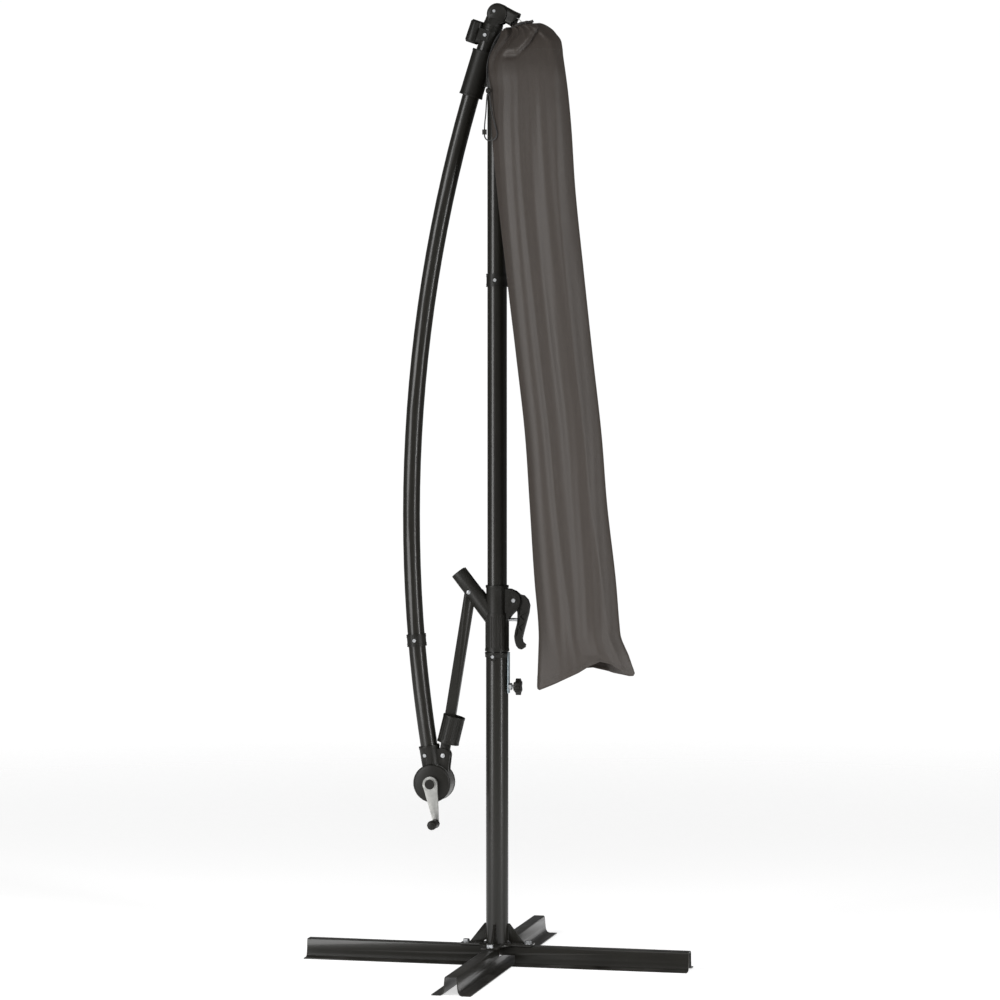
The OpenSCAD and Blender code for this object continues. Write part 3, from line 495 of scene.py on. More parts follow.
def tube(path, radius, sides, closed=False):
    """Vertices, faces and UVs of a round tube along a path; radius may vary along it."""
    path = np.asarray(path, dtype=float)
    count = len(path)
    radii = np.broadcast_to(radius, (count,))
    before = np.roll(path, 1, 0) if closed else np.vstack([path[:1], path[:-1]])
    after = np.roll(path, -1, 0) if closed else np.vstack([path[1:], path[-1:]])
    tangent = after - before
    tangent /= np.linalg.norm(tangent, axis=1)[:, None]
    side = np.cross(tangent[0], (0.3, 0.9, 0.2))
    vertices, uv, reach = [], [], 0.0
    for i in range(count):
        side = side - tangent[i] * side.dot(tangent[i])
        side /= np.linalg.norm(side)
        other = np.cross(tangent[i], side)
        if i:
            reach += np.linalg.norm(path[i] - path[i - 1])
        for k in range(sides):
            angle = TAU * k / sides
            vertices.append(path[i] + radii[i] * (math.cos(angle) * side + math.sin(angle) * other))
            uv.append((abs(2 * k / sides - 1), reach))
    rings = count if closed else count - 1
    faces = [[i * sides + k, i * sides + (k + 1) % sides,
              (i + 1) % count * sides + (k + 1) % sides, (i + 1) % count * sides + k]
             for i in range(rings) for k in range(sides)]
    if not closed:
        faces.append(list(range(sides))[::-1])
        faces.append([(count - 1) * sides + k for k in range(sides)])
    return vertices, faces, uv


def outward(piece):
    """Recalculates a closed piece's normals to point out."""
    work = bmesh.new()
    work.from_mesh(piece.data)
    bmesh.ops.recalc_face_normals(work, faces=work.faces)
    work.to_mesh(piece.data)
    work.free()
    return piece


def lathe(profile, sides, radius_of=None):
    """A closed turned shape about Z from (radius, z) pairs; radius_of bends rings marked by a key."""
    vertices, faces = [], []
    for radius, z, *key in profile:
        for k in range(sides):
            angle = TAU * k / sides
            r = radius_of(radius, angle, key[0]) if key and radius_of else radius
            vertices.append((r * math.cos(angle), r * math.sin(angle), z))
    rings = len(profile)
    for i in range(rings - 1):
        for k in range(sides):
            n = (k + 1) % sides
            faces.append((i * sides + k, i * sides + n, (i + 1) * sides + n, (i + 1) * sides + k))
    faces.append(tuple(range(sides))[::-1])
    faces.append(tuple((rings - 1) * sides + k for k in range(sides)))
    return vertices, faces


# ---------------------------------------------------------------- geometry nodes


def wire(tree, nodes, links):
    """Adds nodes {key: (type, settings, values)} and links ((key, output), (key, input))."""
    made = {}
    for key, (kind, settings, values) in nodes.items():
        made[key] = tree.nodes.new(kind)
        for name, value in settings.items():
            setattr(made[key], name, value)
        for name, value in values.items():
            made[key].inputs[name].default_value = value
    for (source, out), (target, into) in links:
        tree.links.new(made[source].outputs[out], made[target].inputs[into])
    return made


def scatter_tree():
    """Shapes set on points, turned and sized by the points' own attributes."""
    tree = bpy.data.node_groups.new("Set pieces on points", "GeometryNodeTree")
    face = tree.interface
    face.new_socket("Geometry", in_out="INPUT", socket_type="NodeSocketGeometry")
    face.new_socket("Shape", in_out="INPUT", socket_type="NodeSocketObject")
    face.new_socket("Finish", in_out="INPUT", socket_type="NodeSocketMaterial")
    face.new_socket("Geometry", in_out="OUTPUT", socket_type="NodeSocketGeometry")
    wire(tree, {
        "in": ("NodeGroupInput", {}, {}),
        "shape": ("GeometryNodeObjectInfo", {"transform_space": "ORIGINAL"}, {}),
        "turn": ("GeometryNodeInputNamedAttribute", {"data_type": "FLOAT_VECTOR"}, {"Name": "turn"}),
        "size": ("GeometryNodeInputNamedAttribute", {"data_type": "FLOAT"}, {"Name": "size"}),
        "euler": ("FunctionNodeEulerToRotation", {}, {}),
        "set": ("GeometryNodeInstanceOnPoints", {}, {}),
        "real": ("GeometryNodeRealizeInstances", {}, {}),
        "paint": ("GeometryNodeSetMaterial", {}, {}),
        "out": ("NodeGroupOutput", {}, {}),
    }, [
        (("in", "Geometry"), ("set", "Points")), (("in", "Shape"), ("shape", "Object")),
        (("shape", "Geometry"), ("set", "Instance")), (("turn", "Attribute"), ("euler", 0)),
        (("euler", 0), ("set", "Rotation")), (("size", "Attribute"), ("set", "Scale")),
        (("set", "Instances"), ("real", "Geometry")), (("real", "Geometry"), ("paint", "Geometry")),
        (("in", "Finish"), ("paint", "Material")), (("paint", "Geometry"), ("out", "Geometry")),
    ])
    return tree


def row_tree():
    """Shapes set at an even spacing along a path, each pointing along it."""
    tree = bpy.data.node_groups.new("Row along a path", "GeometryNodeTree")
    face = tree.interface
    face.new_socket("Geometry", in_out="INPUT", socket_type="NodeSocketGeometry")
    face.new_socket("Shape", in_out="INPUT", socket_type="NodeSocketObject")
    face.new_socket("Spacing", in_out="INPUT", socket_type="NodeSocketFloat")
    face.new_socket("Finish", in_out="INPUT", socket_type="NodeSocketMaterial")
    face.new_socket("Geometry", in_out="OUTPUT", socket_type="NodeSocketGeometry")
    wire(tree, {
        "in": ("NodeGroupInput", {}, {}),
        "shape": ("GeometryNodeObjectInfo", {"transform_space": "ORIGINAL"}, {}),
        "curve": ("GeometryNodeMeshToCurve", {}, {}),
        "even": ("GeometryNodeResampleCurve", {"mode": "LENGTH"}, {}),
        "tangent": ("GeometryNodeInputTangent", {}, {}),
        "aim": ("FunctionNodeAlignRotationToVector", {"axis": "X"}, {}),
        "set": ("GeometryNodeInstanceOnPoints", {}, {}),
        "real": ("GeometryNodeRealizeInstances", {}, {}),
        "paint": ("GeometryNodeSetMaterial", {}, {}),
        "out": ("NodeGroupOutput", {}, {}),
    }, [
        (("in", "Geometry"), ("curve", "Mesh")), (("curve", "Curve"), ("even", "Curve")),
        (("in", "Spacing"), ("even", "Length")), (("even", "Curve"), ("set", "Points")),
        (("in", "Shape"), ("shape", "Object")), (("shape", "Geometry"), ("set", "Instance")),
        (("tangent", "Tangent"), ("aim", "Vector")), (("aim", "Rotation"), ("set", "Rotation")),
        (("set", "Instances"), ("real", "Geometry")), (("real", "Geometry"), ("paint", "Geometry")),
        (("in", "Finish"), ("paint", "Material")), (("paint", "Geometry"), ("out", "Geometry")),
    ])
    return tree


def grown(piece, tree, values, finish, body):
    """Runs a node tree on a piece, keeps the result as its plain mesh and finishes it."""
    modifier = piece.modifiers.new(tree.name, "NODES")
    modifier.node_group = tree
    named = {item.name: item.identifier for item in tree.interface.items_tree
             if item.item_type == "SOCKET" and item.in_out == "INPUT"}
    for name, value in {**values, "Finish": FINISHES[finish].material}.items():
        modifier[named[name]] = value
    bpy.context.scene.collection.objects.link(piece)
    bake_modifiers(piece)
    return adopt(piece, finish, body)


def pattern_shape(name, vertices, faces):
    """A shape for the trees to repeat; it isn't linked to the scene itself."""
    mesh = bpy.data.meshes.new(name)
    mesh.from_pydata(vertices, [], faces)
    mesh.shade_smooth()
    return outward(bpy.data.objects.new(name, mesh))


def bead_shape(name, length, width, height, rings=6, sides=8):
    """A rounded bead that lies along X, for stitches and weld ripples."""
    profile = []
    for i in range(rings + 1):
        angle = math.pi * i / rings
        profile.append((max(1e-5, math.sin(angle)), -math.cos(angle)))
    vertices, faces = lathe(profile, sides)
    turned = [(z * length / 2, x * width / 2, y * height / 2) for x, y, z in vertices]
    return pattern_shape(name, turned, faces)


# ---------------------------------------------------------------- fasteners


def cross_recess(radius, angle, key):
    """Radius of a ring bent to a cross with arms as long as radius and a third as wide."""
    if key != "cross":
        return radius
    c, s = abs(math.cos(angle)), abs(math.sin(angle))
    half = radius * 0.27
    reach = []
    for along, off in ((c, s), (s, c)):
        reach.append(min(radius / max(along, 1e-6), half / max(off, 1e-6)))
    return max(reach)


def screw_shape():
    """A pan head of unit radius with a cross recess, its seat on z = 0."""
    profile = [(0.2, -0.35), (0.42, -0.35), (0.42, 0), (0.96, 0), (1, 0.05), (1, 0.22), (0.93, 0.36),
               (0.78, 0.46), (0.66, 0.5), (0.56, 0.515, "cross"), (0.53, 0.49, "cross"),
               (0.42, 0.2, "cross"), (0.1, 0.12, "cross")]
    vertices, faces = lathe(profile, 64, cross_recess)
    return pattern_shape("screw_head", vertices, faces)


def rivet_shape():
    """A domed pin end with a turned ring, of unit radius."""
    profile = [(0.3, -0.3), (0.5, -0.3), (0.5, 0), (1, 0), (1, 0.16), (0.94, 0.26), (0.8, 0.34),
               (0.62, 0.38), (0.58, 0.34), (0.5, 0.34), (0.46, 0.39), (0.25, 0.42), (0.05, 0.43)]
    return pattern_shape("rivet_head", *lathe(profile, 48))


FRONT, BACK = (math.pi / 2, 0, 0), (-math.pi / 2, 0, 0)


def heads_on(name, shape, tree, spots, body, replaced=()):
    """Fastener heads at spots of (x, y, z, radius, turn) on one body."""
    mesh = bpy.data.meshes.new(name)
    mesh.from_pydata([spot[:3] for spot in spots], [], [])
    turn = mesh.attributes.new("turn", "FLOAT_VECTOR", "POINT")
    turn.data.foreach_set("vector", [v for spot in spots for v in spot[4]])
    size = mesh.attributes.new("size", "FLOAT", "POINT")
    size.data.foreach_set("value", [spot[3] for spot in spots])
    piece = bpy.data.objects.new(name, mesh)
    grown(piece, tree, {"Shape": shape}, "zinc", body)
    piece.data.set_sharp_from_angle(angle=math.radians(38))
    if replaced:
        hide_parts(*replaced)
    return piece


def solids_of(node):
    """Lowest and highest corners of each separate solid of a node."""
    work = bmesh.new()
    work.from_mesh(frame["nodes"][node].data)
    bmesh.ops.remove_doubles(work, verts=work.verts, dist=2e-6)
    left, boxes = set(work.verts), []
    while left:
        reached, queue = set(), [left.pop()]
        while queue:
            vertex = queue.pop()
            reached.add(vertex)
            for edge in vertex.link_edges:
                other = edge.other_vert(vertex)
                if other in left:
                    left.remove(other)
                    queue.append(other)
        places = np.array([vertex.co[:] for vertex in reached])
        boxes.append((places.min(axis=0), places.max(axis=0)))
    work.free()
    return boxes


HEAD_DEPTH = 0.0026
HEAD_COVER = 1.05
PIVOT_RADIUS = 0.0046               # anything wider in the head is its pivot, closed over in front


def make_fasteners():
    """A cross-recessed head on the front end of every screw and pin, a turned one on its back end."""
    tree, screw, rivet = scatter_tree(), screw_shape(), rivet_shape()
    nodes = {
        "base": ["collar_screw"],
        "mast": ["mast_coupler_screw", "guide_pivot_pin"],
        "slider": ["strut_pivot_screw", "lever_pin"],
        "boom": ["boom_coupler_screw", "stop_block_screw", "strut_end_bolt", "head_bolt"],
    }
    for body, names in nodes.items():
        fronts, backs = [], []
        for name, lo, hi in ((name, *box) for name in names for box in solids_of(name)):
            x, z = (lo[0] + hi[0]) / 2, (lo[2] + hi[2]) / 2
            radius = (hi[0] - lo[0]) / 2 * HEAD_COVER
            covered = name == "head_bolt" and radius > PIVOT_RADIUS
            if lo[1] < -0.012 and not covered:
                fronts.append((x, lo[1] + HEAD_DEPTH, z, radius, FRONT))
            if hi[1] > 0.012:
                backs.append((x, hi[1] - HEAD_DEPTH, z, radius, BACK))
        heads_on(f"screw_heads_{body}", screw, tree, fronts, body)
        if backs:
            heads_on(f"rivet_heads_{body}", rivet, tree, backs, body)


# ---------------------------------------------------------------- hard parts


METAL = ["base_bar_long", "base_bar_cross", "foot_plate", "foot_gussets", "strut_bar"]
TUBES = ["lower_mast_tube", "mast_tube_lower", "mast_tube_upper", "boom_tube_lower", "boom_tube_upper"]
MOULDED = ["lower_mast_collar", "clamp_knob", "mast_coupler_ring", "slider_housing",
           "strut_knuckle", "locking_sleeve", "guide_sleeve", "boom_coupler_ring", "crank_front_cover",
           "crank_back_cover", "stop_block", "head_socket", "crank_hub_cap", "crank_grip",
           "mast_top_fork", "head_arm"]
PLAIN = ["clamp_lever", "foot_bolts", "foot_nuts", "clamp_nut", "clamp_stud", "clamp_strip", "mast_thrust_bush",
         "mast_coupler_insert", "boom_coupler_insert", "clamp_shoe", "guide_liner", "lever_stop_rod",
         "collar_screw", "mast_coupler_screw", "guide_pivot_pin", "strut_pivot_screw", "lever_pin",
         "boom_coupler_screw", "strut_end_bolt", "stop_block_screw", "head_bolt", "winding_drum",
         "rope_sheave", "canopy_hub", "canopy_pole", "canopy_ribs", "cord_lock", "hoist_cord"]


def finish_hard_parts(hard):
    for node in METAL:
        rounded_copy(node, hard.metal_edge)
    for node in TUBES:
        rounded_copy(node, 0)
    for node in MOULDED:
        rounded_copy(node, hard.moulded_edge)
    rounded_copy("crank_housing", hard.moulded_edge, "crank_housing")
    rounded_copy("crank_arm", 0.0012)
    for node in PLAIN:
        paint_node(node)


def paint_node(node):
    """Gives a CAD node that is shown as it is the finish of its slot."""
    piece = frame["nodes"][node]
    piece.data.materials.clear()
    piece.data.materials.append(FINISHES[slot_of_node(node)].material)


def weld_beads():
    """Ripples of weld round the foot of the mast and along both sides of each gusset."""
    lo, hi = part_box("lower_mast_tube")
    radius, foot = (hi[0] - lo[0]) / 2, lo[2]
    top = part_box("foot_gussets")[1][2]
    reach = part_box("foot_gussets")[1][0]
    vertices, edges = [], []

    def run(points):
        start = len(vertices)
        vertices.extend(points)
        edges.extend((start + i, start + i + 1) for i in range(len(points) - 1))

    for quarter in range(4):
        turn = Matrix.Rotation(quarter * math.pi / 2, 3, "Z")
        run([tuple(turn @ Vector((radius * math.cos(a), radius * math.sin(a), foot)))
             for a in np.linspace(0.13, math.pi / 2 - 0.13, 14)])
        for side in (-1, 1):
            run([tuple(turn @ Vector((x, side * 0.003, foot)))
                 for x in np.linspace(radius + 0.010, reach - 0.004, 8)])
            run([tuple(turn @ Vector((radius + 0.0004, side * 0.003, z)))
                 for z in np.linspace(foot + 0.010, top - 0.002, 8)])
    mesh = bpy.data.meshes.new("weld_beads")
    mesh.from_pydata(vertices, edges, [])
    bead = bead_shape("weld_ripple", 0.0034, 0.0042, 0.0042)
    grown(bpy.data.objects.new("weld_beads", mesh), row_tree(), {"Shape": bead, "Spacing": 0.0022},
          "powder_coat", "base")


# ---------------------------------------------------------------- cover

# Stations down the cover: height, centre x and y, half width, half depth, and how much
# higher the right side is than the left.
STATIONS = np.array([
    (2.3010, 0.0550, -0.0120, 0.0380, 0.0170, 0.021), (2.2950, 0.0560, -0.0125, 0.0350, 0.0150, 0.019),
    (2.2950, 0.0640, -0.0150, 0.0500, 0.0210, 0.016), (2.2860, 0.0770, -0.0200, 0.0630, 0.0265, 0.006),
    (2.2735, 0.0835, -0.0260, 0.0705, 0.0300, 0.002), (2.2595, 0.0870, -0.0320, 0.0790, 0.0330, 0.000),
    (2.2480, 0.0860, -0.0365, 0.0835, 0.0350, 0.000), (2.2190, 0.0830, -0.0470, 0.0920, 0.0385, 0.000),
    (2.1860, 0.0866, -0.0560, 0.0950, 0.0410, 0.000), (2.1430, 0.0930, -0.0610, 0.0955, 0.0425, 0.000),
    (2.0650, 0.0990, -0.0660, 0.0985, 0.0435, 0.000), (1.9000, 0.1120, -0.0670, 0.0970, 0.0440, 0.000),
    (1.7000, 0.1340, -0.0670, 0.0960, 0.0440, 0.000), (1.5000, 0.1570, -0.0670, 0.0950, 0.0440, 0.000),
    (1.3000, 0.1800, -0.0670, 0.0950, 0.0440, 0.000), (1.1400, 0.1920, -0.0670, 0.0960, 0.0440, 0.000),
    (0.9440, 0.2100, -0.0670, 0.1010, 0.0440, 0.000), (0.8400, 0.2190, -0.0670, 0.1008, 0.0440, 0.000),
    (0.8210, 0.2204, -0.0670, 0.1014, 0.0440, 0.000), (0.7720, 0.2300, -0.0670, 0.1120, 0.0400, 0.000),
])
# Height of the hem across the cover, from its left edge at -1 to its right edge at 1
HEM_ACROSS = [-1, -0.98, -0.92, -0.55, -0.1, 0.1, 0.35, 0.55, 0.88, 0.965, 1]
HEM_FRONT = [0.693, 0.6865, 0.6840, 0.703, 0.729, 0.744, 0.758, 0.752, 0.7250, 0.7225, 0.729]
HEM_BACK = [0.693, 0.6865, 0.6850, 0.711, 0.735, 0.738, 0.732, 0.726, 0.7205, 0.7215, 0.729]
HEM_FLARE = 0.009
SIDE_SHARPNESS = 1.22


def cover_shape(settings):
    """Grids of the cover's places: rows from the mouth to the hem, columns round it."""
    angles = np.linspace(0, TAU, settings.columns, endpoint=False)
    knots = np.concatenate([[0], np.cumsum(np.hypot(np.diff(STATIONS[:, 0]), np.diff(STATIONS[:, 3])))])
    rows = settings.rows
    spread = np.linspace(0, 1, rows) ** 1.25 * knots[-1]
    z, cx, cy, half, deep, lean = (smooth_column(knots, STATIONS[:, k], spread) for k in range(6))
    across, through = np.cos(angles), np.sin(angles)
    depth = np.sign(through) * np.abs(through) ** SIDE_SHARPNESS
    x = cx[:, None] + half[:, None] * across
    y = cy[:, None] + deep[:, None] * depth
    height = z[:, None] + lean[:, None] / 2 * across
    hem = np.where(through < 0, np.interp(across, HEM_ACROSS, HEM_FRONT),
                   np.interp(across, HEM_ACROSS, HEM_BACK))
    hem_rows = 14
    k = np.linspace(0, 1, hem_rows + 1)[1:, None]
    x = np.vstack([x, x[-1] + k * (HEM_FLARE * across + 0.006)])
    y = np.vstack([y, y[-1] - k * 0.010 * depth])
    height = np.vstack([height, height[-1] * (1 - k) + hem * k])
    down = (height[0].mean() - height) / (height[0].mean() - 0.70)
    return x, y, height, across, through, down


def smooth_column(knots, values, at):
    """A smooth curve through values at knots, which never overshoots by much."""
    slopes = np.gradient(values, knots)
    i = np.clip(np.searchsorted(knots, at, side="right") - 1, 0, len(knots) - 2)
    width = knots[i + 1] - knots[i]
    t = (at - knots[i]) / width
    a, b = values[i], values[i + 1]
    return (a * (1 + 2 * t) * (1 - t) ** 2 + slopes[i] * width * t * (1 - t) ** 2
            + b * t * t * (3 - 2 * t) + slopes[i + 1] * width * t * t * (t - 1))


def bump_at(value, middle, width):
    return np.exp(-((value - middle) / width) ** 2)


def rise(value, width):
    """A soft step from 0 to 1 as value goes through 0."""
    return 1 / (1 + np.exp(-np.clip(value / width, -30, 30)))


def cover_folds(across, through, height, down, depth):
    """How far the cloth stands out, from its gathers, its pleat and its long soft folds."""
    side = np.sign(through)
    front = through < 0
    u, z = np.broadcast_arrays(across, height)
    t = down
    inside = np.clip(1 - np.abs(u) ** 4, 0, 1)
    lean = 0.42 * np.sin(2.6 * t + 0.8 * side) + 0.16 * np.sin(7.1 * t + side)
    broad = np.sin(math.pi * (1.45 * u + lean + 0.55 * side))
    middle = np.sin(math.pi * (4.3 * u - 0.9 * t + 0.5 * np.sin(4.3 * t + 1.3 * side) + 0.4 * side))
    small = np.sin(math.pi * (9.5 * u + 2.3 * t + 0.9 * np.sin(6 * t + 2 * u)))
    crease = 1 - np.abs(np.sin(math.pi * (1.15 * u + 0.22 * np.sin(3.3 * t) + 0.31 + 0.2 * side)))
    body = np.clip((t - 0.03) / 0.10, 0, 1)
    uneven = 0.5 + 0.5 * np.sin(5.3 * t + 2.6 * u + side)
    long_folds = depth * body * (0.80 * broad + 0.20 * uneven * middle + 0.05 * small
                                 + 0.45 * crease ** 2.4)
    # gathers at the neck, wide and uneven, which die out within a hand's breadth
    pull = np.exp(-np.clip(2.300 - z, 0, None) / 0.026)
    wave = 3.1 * u + 0.55 * np.sin(2.3 * u + 0.6) + 0.3 * side
    gathers = pull * 0.0065 * ((1 - np.abs(np.sin(math.pi * wave))) ** 1.3 - 0.35)
    # the hollow down the left shoulder, and the tongue that hangs over beside it
    heights = (2.205, 2.245, 2.290)
    hollow = -0.013 * bump_at(u, np.interp(z, heights, (-0.86, -0.74, -0.52)), 0.11)
    hollow *= rise(z - 2.192, 0.008)
    left = np.interp(z, (2.213, 2.255, 2.300), (-0.66, -0.46, 0.02))
    right = np.interp(z, (2.226, 2.243, 2.273, 2.300), (-0.18, -0.02, 0.22, 0.72))
    tongue = 0.0125 * rise(u - left, 0.035) * rise(right - u, 0.022) * rise(z - 2.227, 0.0022)
    groove = -0.006 * bump_at(u, right + 0.055, 0.05) * rise(z - 2.230, 0.004)
    groove -= 0.006 * bump_at(z, 2.2205, 0.006) * bump_at(u, -0.33, 0.17)
    shoulder = 0.005 * bump_at(u, np.interp(z, (2.200, 2.262, 2.300), (0.85, 0.70, 0.35)), 0.10)
    shoulder *= rise(z - 2.165, 0.02)
    top = np.where(front, hollow + tongue + groove + shoulder, 0)
    bottom = np.clip((t - 0.9) / 0.1, 0, 1)
    kick = bottom * 0.006 * np.sin(math.pi * (2.4 * u + 0.9 * side + 0.2))
    return inside * (long_folds + gathers + top + kick)


def make_cover(settings):
    x, y, z, across, through, down = cover_shape(settings)
    push = cover_folds(across, through, z, down, settings.fold)
    hem_band = np.zeros_like(x)
    hem_band[-5:] = 0.0007
    y = y + np.sign(through) * (push + hem_band)
    x = x + 0.35 * push * across
    rows, columns = x.shape
    vertices = np.column_stack([x.ravel(), y.ravel(), z.ravel()])
    faces = [(r * columns + (c + 1) % columns, r * columns + c,
              (r + 1) * columns + c, (r + 1) * columns + (c + 1) % columns)
             for r in range(rows - 1) for c in range(columns)]
    girth = np.linspace(-0.22, 0.22, columns)
    uv = np.column_stack([np.broadcast_to(girth, x.shape).ravel(), z.ravel()])
    cover = new_piece("storage_cover_cloth", vertices, faces, "cover_cloth", "canopy", uv)
    wall = cover.modifiers.new("cloth", "SOLIDIFY")
    wall.thickness, wall.offset = settings.cloth, -1
    bake_modifiers(cover)
    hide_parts("storage_cover")
    grid = vertices.reshape(rows, columns, 3)
    sew_cover(grid)
    return cover, grid


def sew_cover(grid):
    """Stitch rows round the hem and the drawstring channel, and down both side seams."""
    rows, columns, _ = grid.shape
    paths = []
    for row in (-5, -4):
        ring = grid[row]
        paths.append(np.vstack([ring, ring[:1]]))
    channel = grid[int(rows * 0.10)]
    paths.append(np.vstack([channel, channel[:1]]))
    for column, step in ((0, -2), (columns // 2, 2)):
        paths.append(grid[12:-4, column + step])
    vertices, edges = [], []
    for path in paths:
        start = len(vertices)
        middle = path.mean(axis=0)
        for point in path:
            out = np.array([point[0] - middle[0], point[1] - middle[1], 0])
            out /= max(np.linalg.norm(out), 1e-6)
            vertices.append(tuple(point + out * 0.0003))
        edges.extend((start + i, start + i + 1) for i in range(len(path) - 1))
    mesh = bpy.data.meshes.new("cover_stitches")
    mesh.from_pydata(vertices, edges, [])
    stitch = bead_shape("stitch", 0.0026, 0.0009, 0.0009, rings=4, sides=6)
    grown(bpy.data.objects.new("cover_stitches", mesh), row_tree(), {"Shape": stitch, "Spacing": 0.0038},
          "cover_thread", "canopy")


def make_canopy_folds():
    """The pleated lower end of the folded canopy, inside the cover's open end."""
    columns, rows = 144, 60
    angles = np.linspace(0, TAU, columns, endpoint=False)
    top, bottom = 1.9, 0.80
    vertices, uv = [], []
    for r in range(rows + 1):
        z = top + (bottom - top) * r / rows
        cx, cy, half, deep = (np.interp(z, STATIONS[::-1, 0], STATIONS[::-1, k]) for k in (1, 2, 3, 4))
        for a in angles:
            pleat = 0.5 + 0.5 * math.sin(16 * a + 0.6 * math.sin(3 * a) + z * 2)
            keep = 0.80 - 0.13 * pleat
            drop = 0.012 * math.sin(8 * a + 1) if r == rows else 0
            vertices.append((cx + half * keep * math.cos(a), cy + deep * keep * 0.9 * math.sin(a), z + drop))
            uv.append((a * 0.09, z))
    faces = [(r * columns + (c + 1) % columns, r * columns + c,
              (r + 1) * columns + c, (r + 1) * columns + (c + 1) % columns)
             for r in range(rows) for c in range(columns)]
    folds = new_piece("canopy_folds", vertices, faces, "canopy_cloth", "canopy", uv)
    wall = folds.modifiers.new("cloth", "SOLIDIFY")
    wall.thickness, wall.offset = 0.0012, -1
    bake_modifiers(folds)
    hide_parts("canopy_fabric")


# ---------------------------------------------------------------- cords

TAIL_ROUTE = [(0.040, -0.012, 2.290), (0.027, -0.018, 2.288), (0.013, -0.024, 2.279),
              (0.002, -0.030, 2.262), (-0.006, -0.041, 2.236), (-0.011, -0.052, 2.211),
              (-0.011, -0.062, 2.190), (-0.009, -0.070, 2.170), (-0.006, -0.077, 2.152),
              (-0.004, -0.080, 2.143)]
LOOP_ROUTE = [(-0.002, -0.081, 2.129), (0.000, -0.082, 2.122), (0.002, -0.083, 2.110),
              (0.005, -0.085, 2.094), (0.009, -0.088, 2.076), (0.014, -0.091, 2.058),
              (0.019, -0.094, 2.044), (0.022, -0.096, 2.033), (0.020, -0.096, 2.024),
              (0.013, -0.094, 2.018), (0.004, -0.091, 2.016), (-0.005, -0.088, 2.018),
              (-0.010, -0.086, 2.023), (-0.012, -0.085, 2.030), (-0.012, -0.085, 2.044),
              (-0.011, -0.085, 2.060), (-0.009, -0.084, 2.080), (-0.008, -0.083, 2.100),
              (-0.007, -0.082, 2.116), (-0.006, -0.081, 2.129)]
BEAD = (-0.004, -0.080, 2.137)


def make_cords(settings, mouth_ring):
    radius, sides = settings.diameter / 2, settings.sides
    path, length = smooth_path(LOOP_ROUTE, 0.0025)
    vertices, faces, uv = tube(path, radius, sides)
    loop = new_piece("drawstring_loop_cord", vertices, faces, "black_cord", "canopy", uv)
    outward(loop)
    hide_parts("drawstring_loop")
    bead = make_bead()
    tail, _ = smooth_path(TAIL_ROUTE, 0.003)
    vertices, faces, uv = tube(tail, radius, sides)
    held = new_piece("drawstring_tail", vertices, faces, "black_cord", "canopy", uv)
    outward(held)
    ring, _ = smooth_path(mouth_ring, 0.003)
    vertices, faces, uv = tube(ring, radius, sides)
    neck = new_piece("drawstring_neck", vertices, faces, "black_cord", "canopy", uv)
    outward(neck)
    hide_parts("drawstring")
    return bead


def make_bead():
    """The moulded bead that gathers the two ends of the drawstring."""
    profile = [(0.0018, -0.0066), (0.0034, -0.0062), (0.0052, -0.0042), (0.0060, -0.0012),
               (0.0057, 0.0004), (0.0060, 0.0020), (0.0050, 0.0046), (0.0032, 0.0062), (0.0018, 0.0064)]
    vertices, faces = lathe(profile, 32)
    placed = [tuple(Vector(v) + Vector(BEAD)) for v in vertices]
    return outward(new_piece("drawstring_bead", placed, faces, "black_plastic", "canopy"))


def make_hoist_end():
    """The hoisting line where it leaves the head arm and goes down into the cover."""
    route = [(0.040, -0.004, 2.318), (0.050, -0.007, 2.317), (0.058, -0.010, 2.313),
             (0.064, -0.012, 2.305), (0.066, -0.012, 2.292), (0.067, -0.013, 2.280)]
    path, _ = smooth_path(route, 0.0015)
    vertices, faces, uv = tube(path, 0.0013, 12)
    outward(new_piece("hoist_line_end", vertices, faces, "hoist_line", "head", uv))


# ---------------------------------------------------------------- stage


def make_stage(stage):
    scene = bpy.context.scene
    camera = bpy.data.objects.new("camera", bpy.data.cameras.new("camera"))
    camera.data.lens = stage.lens
    camera.data.sensor_width = 36
    camera.data.clip_end = 60
    turn = stage.bearing
    camera.location = (stage.distance * math.sin(turn), -stage.distance * math.cos(turn), stage.height)
    camera.rotation_euler = (math.pi / 2 - stage.pitch, 0, turn - math.radians(0.0437))
    scene.collection.objects.link(camera)
    scene.camera = camera

    mesh = bpy.data.meshes.new("studio_floor")
    reach = 30
    mesh.from_pydata([(-reach, -reach, 0), (reach, -reach, 0), (reach, reach, 0), (-reach, reach, 0)],
                     [], [(0, 1, 2, 3)])
    floor = bpy.data.objects.new("studio_floor", mesh)
    floor.data.materials.append(stage_floor().material)
    scene.collection.objects.link(floor)

    scene.world = studio_world(1.02, 0.15)
    softbox("left_box", (-2.4, -2.7, 1.7), (0, 0, 1.2), (1.2, 3.4), 105)
    softbox("right_strip", (3.1, -1.8, 1.7), (0, 0, 1.2), (0.35, 3.4), 85)
    softbox("front_fill", (1.2, -6.0, 4.6), (0, 0, 1.0), (3.0, 3.0), 62)
    scene.view_settings.view_transform = "Standard"


def studio_world(seen, lit):
    """A white surround, bright where it is seen and dimmer where it lights the object."""
    world = bpy.data.worlds.new("studio")
    world.use_nodes = True
    nodes, links = world.node_tree.nodes, world.node_tree.links
    path = nodes.new("ShaderNodeLightPath")
    level = nodes.new("ShaderNodeMapRange")
    level.inputs["To Min"].default_value, level.inputs["To Max"].default_value = lit, seen
    links.new(path.outputs["Is Camera Ray"], level.inputs["Value"])
    nodes["Background"].inputs["Color"].default_value = (1, 1, 1, 1)
    links.new(level.outputs["Result"], nodes["Background"].inputs["Strength"])
    return world


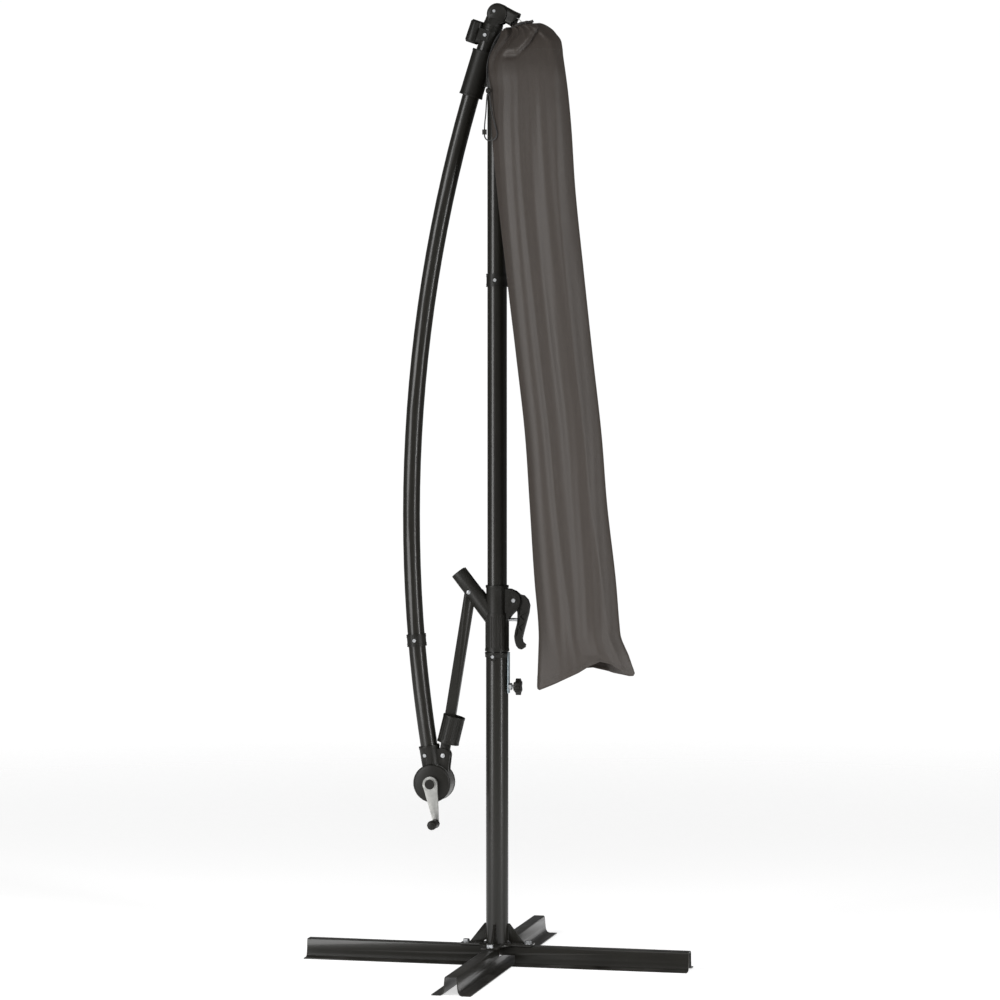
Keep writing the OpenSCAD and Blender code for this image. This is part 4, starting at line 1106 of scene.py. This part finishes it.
def softbox(name, place, aim, size, power):
    """A rectangular light at place that faces aim."""
    light = bpy.data.lights.new(name, "AREA")
    light.shape, light.size, light.size_y, light.energy = "RECTANGLE", size[0], size[1], power
    lamp = bpy.data.objects.new(name, light)
    lamp.location = place
    lamp.rotation_euler = (Vector(aim) - Vector(place)).to_track_quat("-Z", "Y").to_euler()
    bpy.context.scene.collection.objects.link(lamp)


# ---------------------------------------------------------------- operators


class PARASOL_OT_finishes(bpy.types.Operator):
    """Make the materials of every slot"""

    bl_idname = "parasol.finishes"
    bl_label = "Make finishes"

    def execute(self, context):
        make_finishes(context.scene)
        return {"FINISHED"}


class PARASOL_OT_hard_parts(bpy.types.Operator):
    """Finish the tubes, sheet metal and mouldings"""

    bl_idname = "parasol.hard_parts"
    bl_label = "Finish hard parts"

    def execute(self, context):
        finish_hard_parts(context.scene.parasol_finish)
        weld_beads()
        return {"FINISHED"}


class PARASOL_OT_fasteners(bpy.types.Operator):
    """Set the heads of screws, bolts and pins"""

    bl_idname = "parasol.fasteners"
    bl_label = "Set fasteners"

    def execute(self, context):
        make_fasteners()
        return {"FINISHED"}


class PARASOL_OT_cover(bpy.types.Operator):
    """Build the storage cover, the canopy folded in it, and its drawstring"""

    bl_idname = "parasol.cover"
    bl_label = "Build cover and cords"

    def execute(self, context):
        _, grid = make_cover(context.scene.parasol_cover)
        make_canopy_folds()
        neck = grid[2, ::6] + np.array([0, 0, 0.0008])
        middle = neck.mean(axis=0)
        neck = middle + (neck - middle) * 1.06
        make_cords(context.scene.parasol_cord, np.vstack([neck, neck[:1]]))
        make_hoist_end()
        return {"FINISHED"}


class PARASOL_OT_stage(bpy.types.Operator):
    """Set the camera, the lights and the floor"""

    bl_idname = "parasol.stage"
    bl_label = "Set the stage"

    def execute(self, context):
        make_stage(context.scene.parasol_stage)
        return {"FINISHED"}


OPERATORS = [PARASOL_OT_stage, PARASOL_OT_finishes, PARASOL_OT_hard_parts, PARASOL_OT_fasteners,
             PARASOL_OT_cover]
SETTINGS = {"parasol_cover": CoverSettings, "parasol_cord": CordSettings,
            "parasol_finish": FinishSettings, "parasol_stage": StageSettings}


class PARASOL_PT_panel(bpy.types.Panel):
    """Steps that build the parasol"""

    bl_idname = "PARASOL_PT_panel"
    bl_label = "Parasol"
    bl_space_type = "VIEW_3D"
    bl_region_type = "UI"
    bl_category = "Parasol"

    def draw(self, context):
        for operator in OPERATORS:
            self.layout.operator(operator.bl_idname)


def register():
    for group in SETTINGS.values():
        bpy.utils.register_class(group)
    for name, group in SETTINGS.items():
        setattr(bpy.types.Scene, name, bpy.props.PointerProperty(type=group))
    for operator in OPERATORS:
        bpy.utils.register_class(operator)
    bpy.utils.register_class(PARASOL_PT_panel)


def unregister():
    bpy.utils.unregister_class(PARASOL_PT_panel)
    for operator in reversed(OPERATORS):
        bpy.utils.unregister_class(operator)
    for name in SETTINGS:
        delattr(bpy.types.Scene, name)
    for group in SETTINGS.values():
        bpy.utils.unregister_class(group)


def main():
    register()
    for operator in OPERATORS:
        group, name = operator.bl_idname.split(".")
        getattr(getattr(bpy.ops, group), name)()


if __name__ == "__main__":
    main()
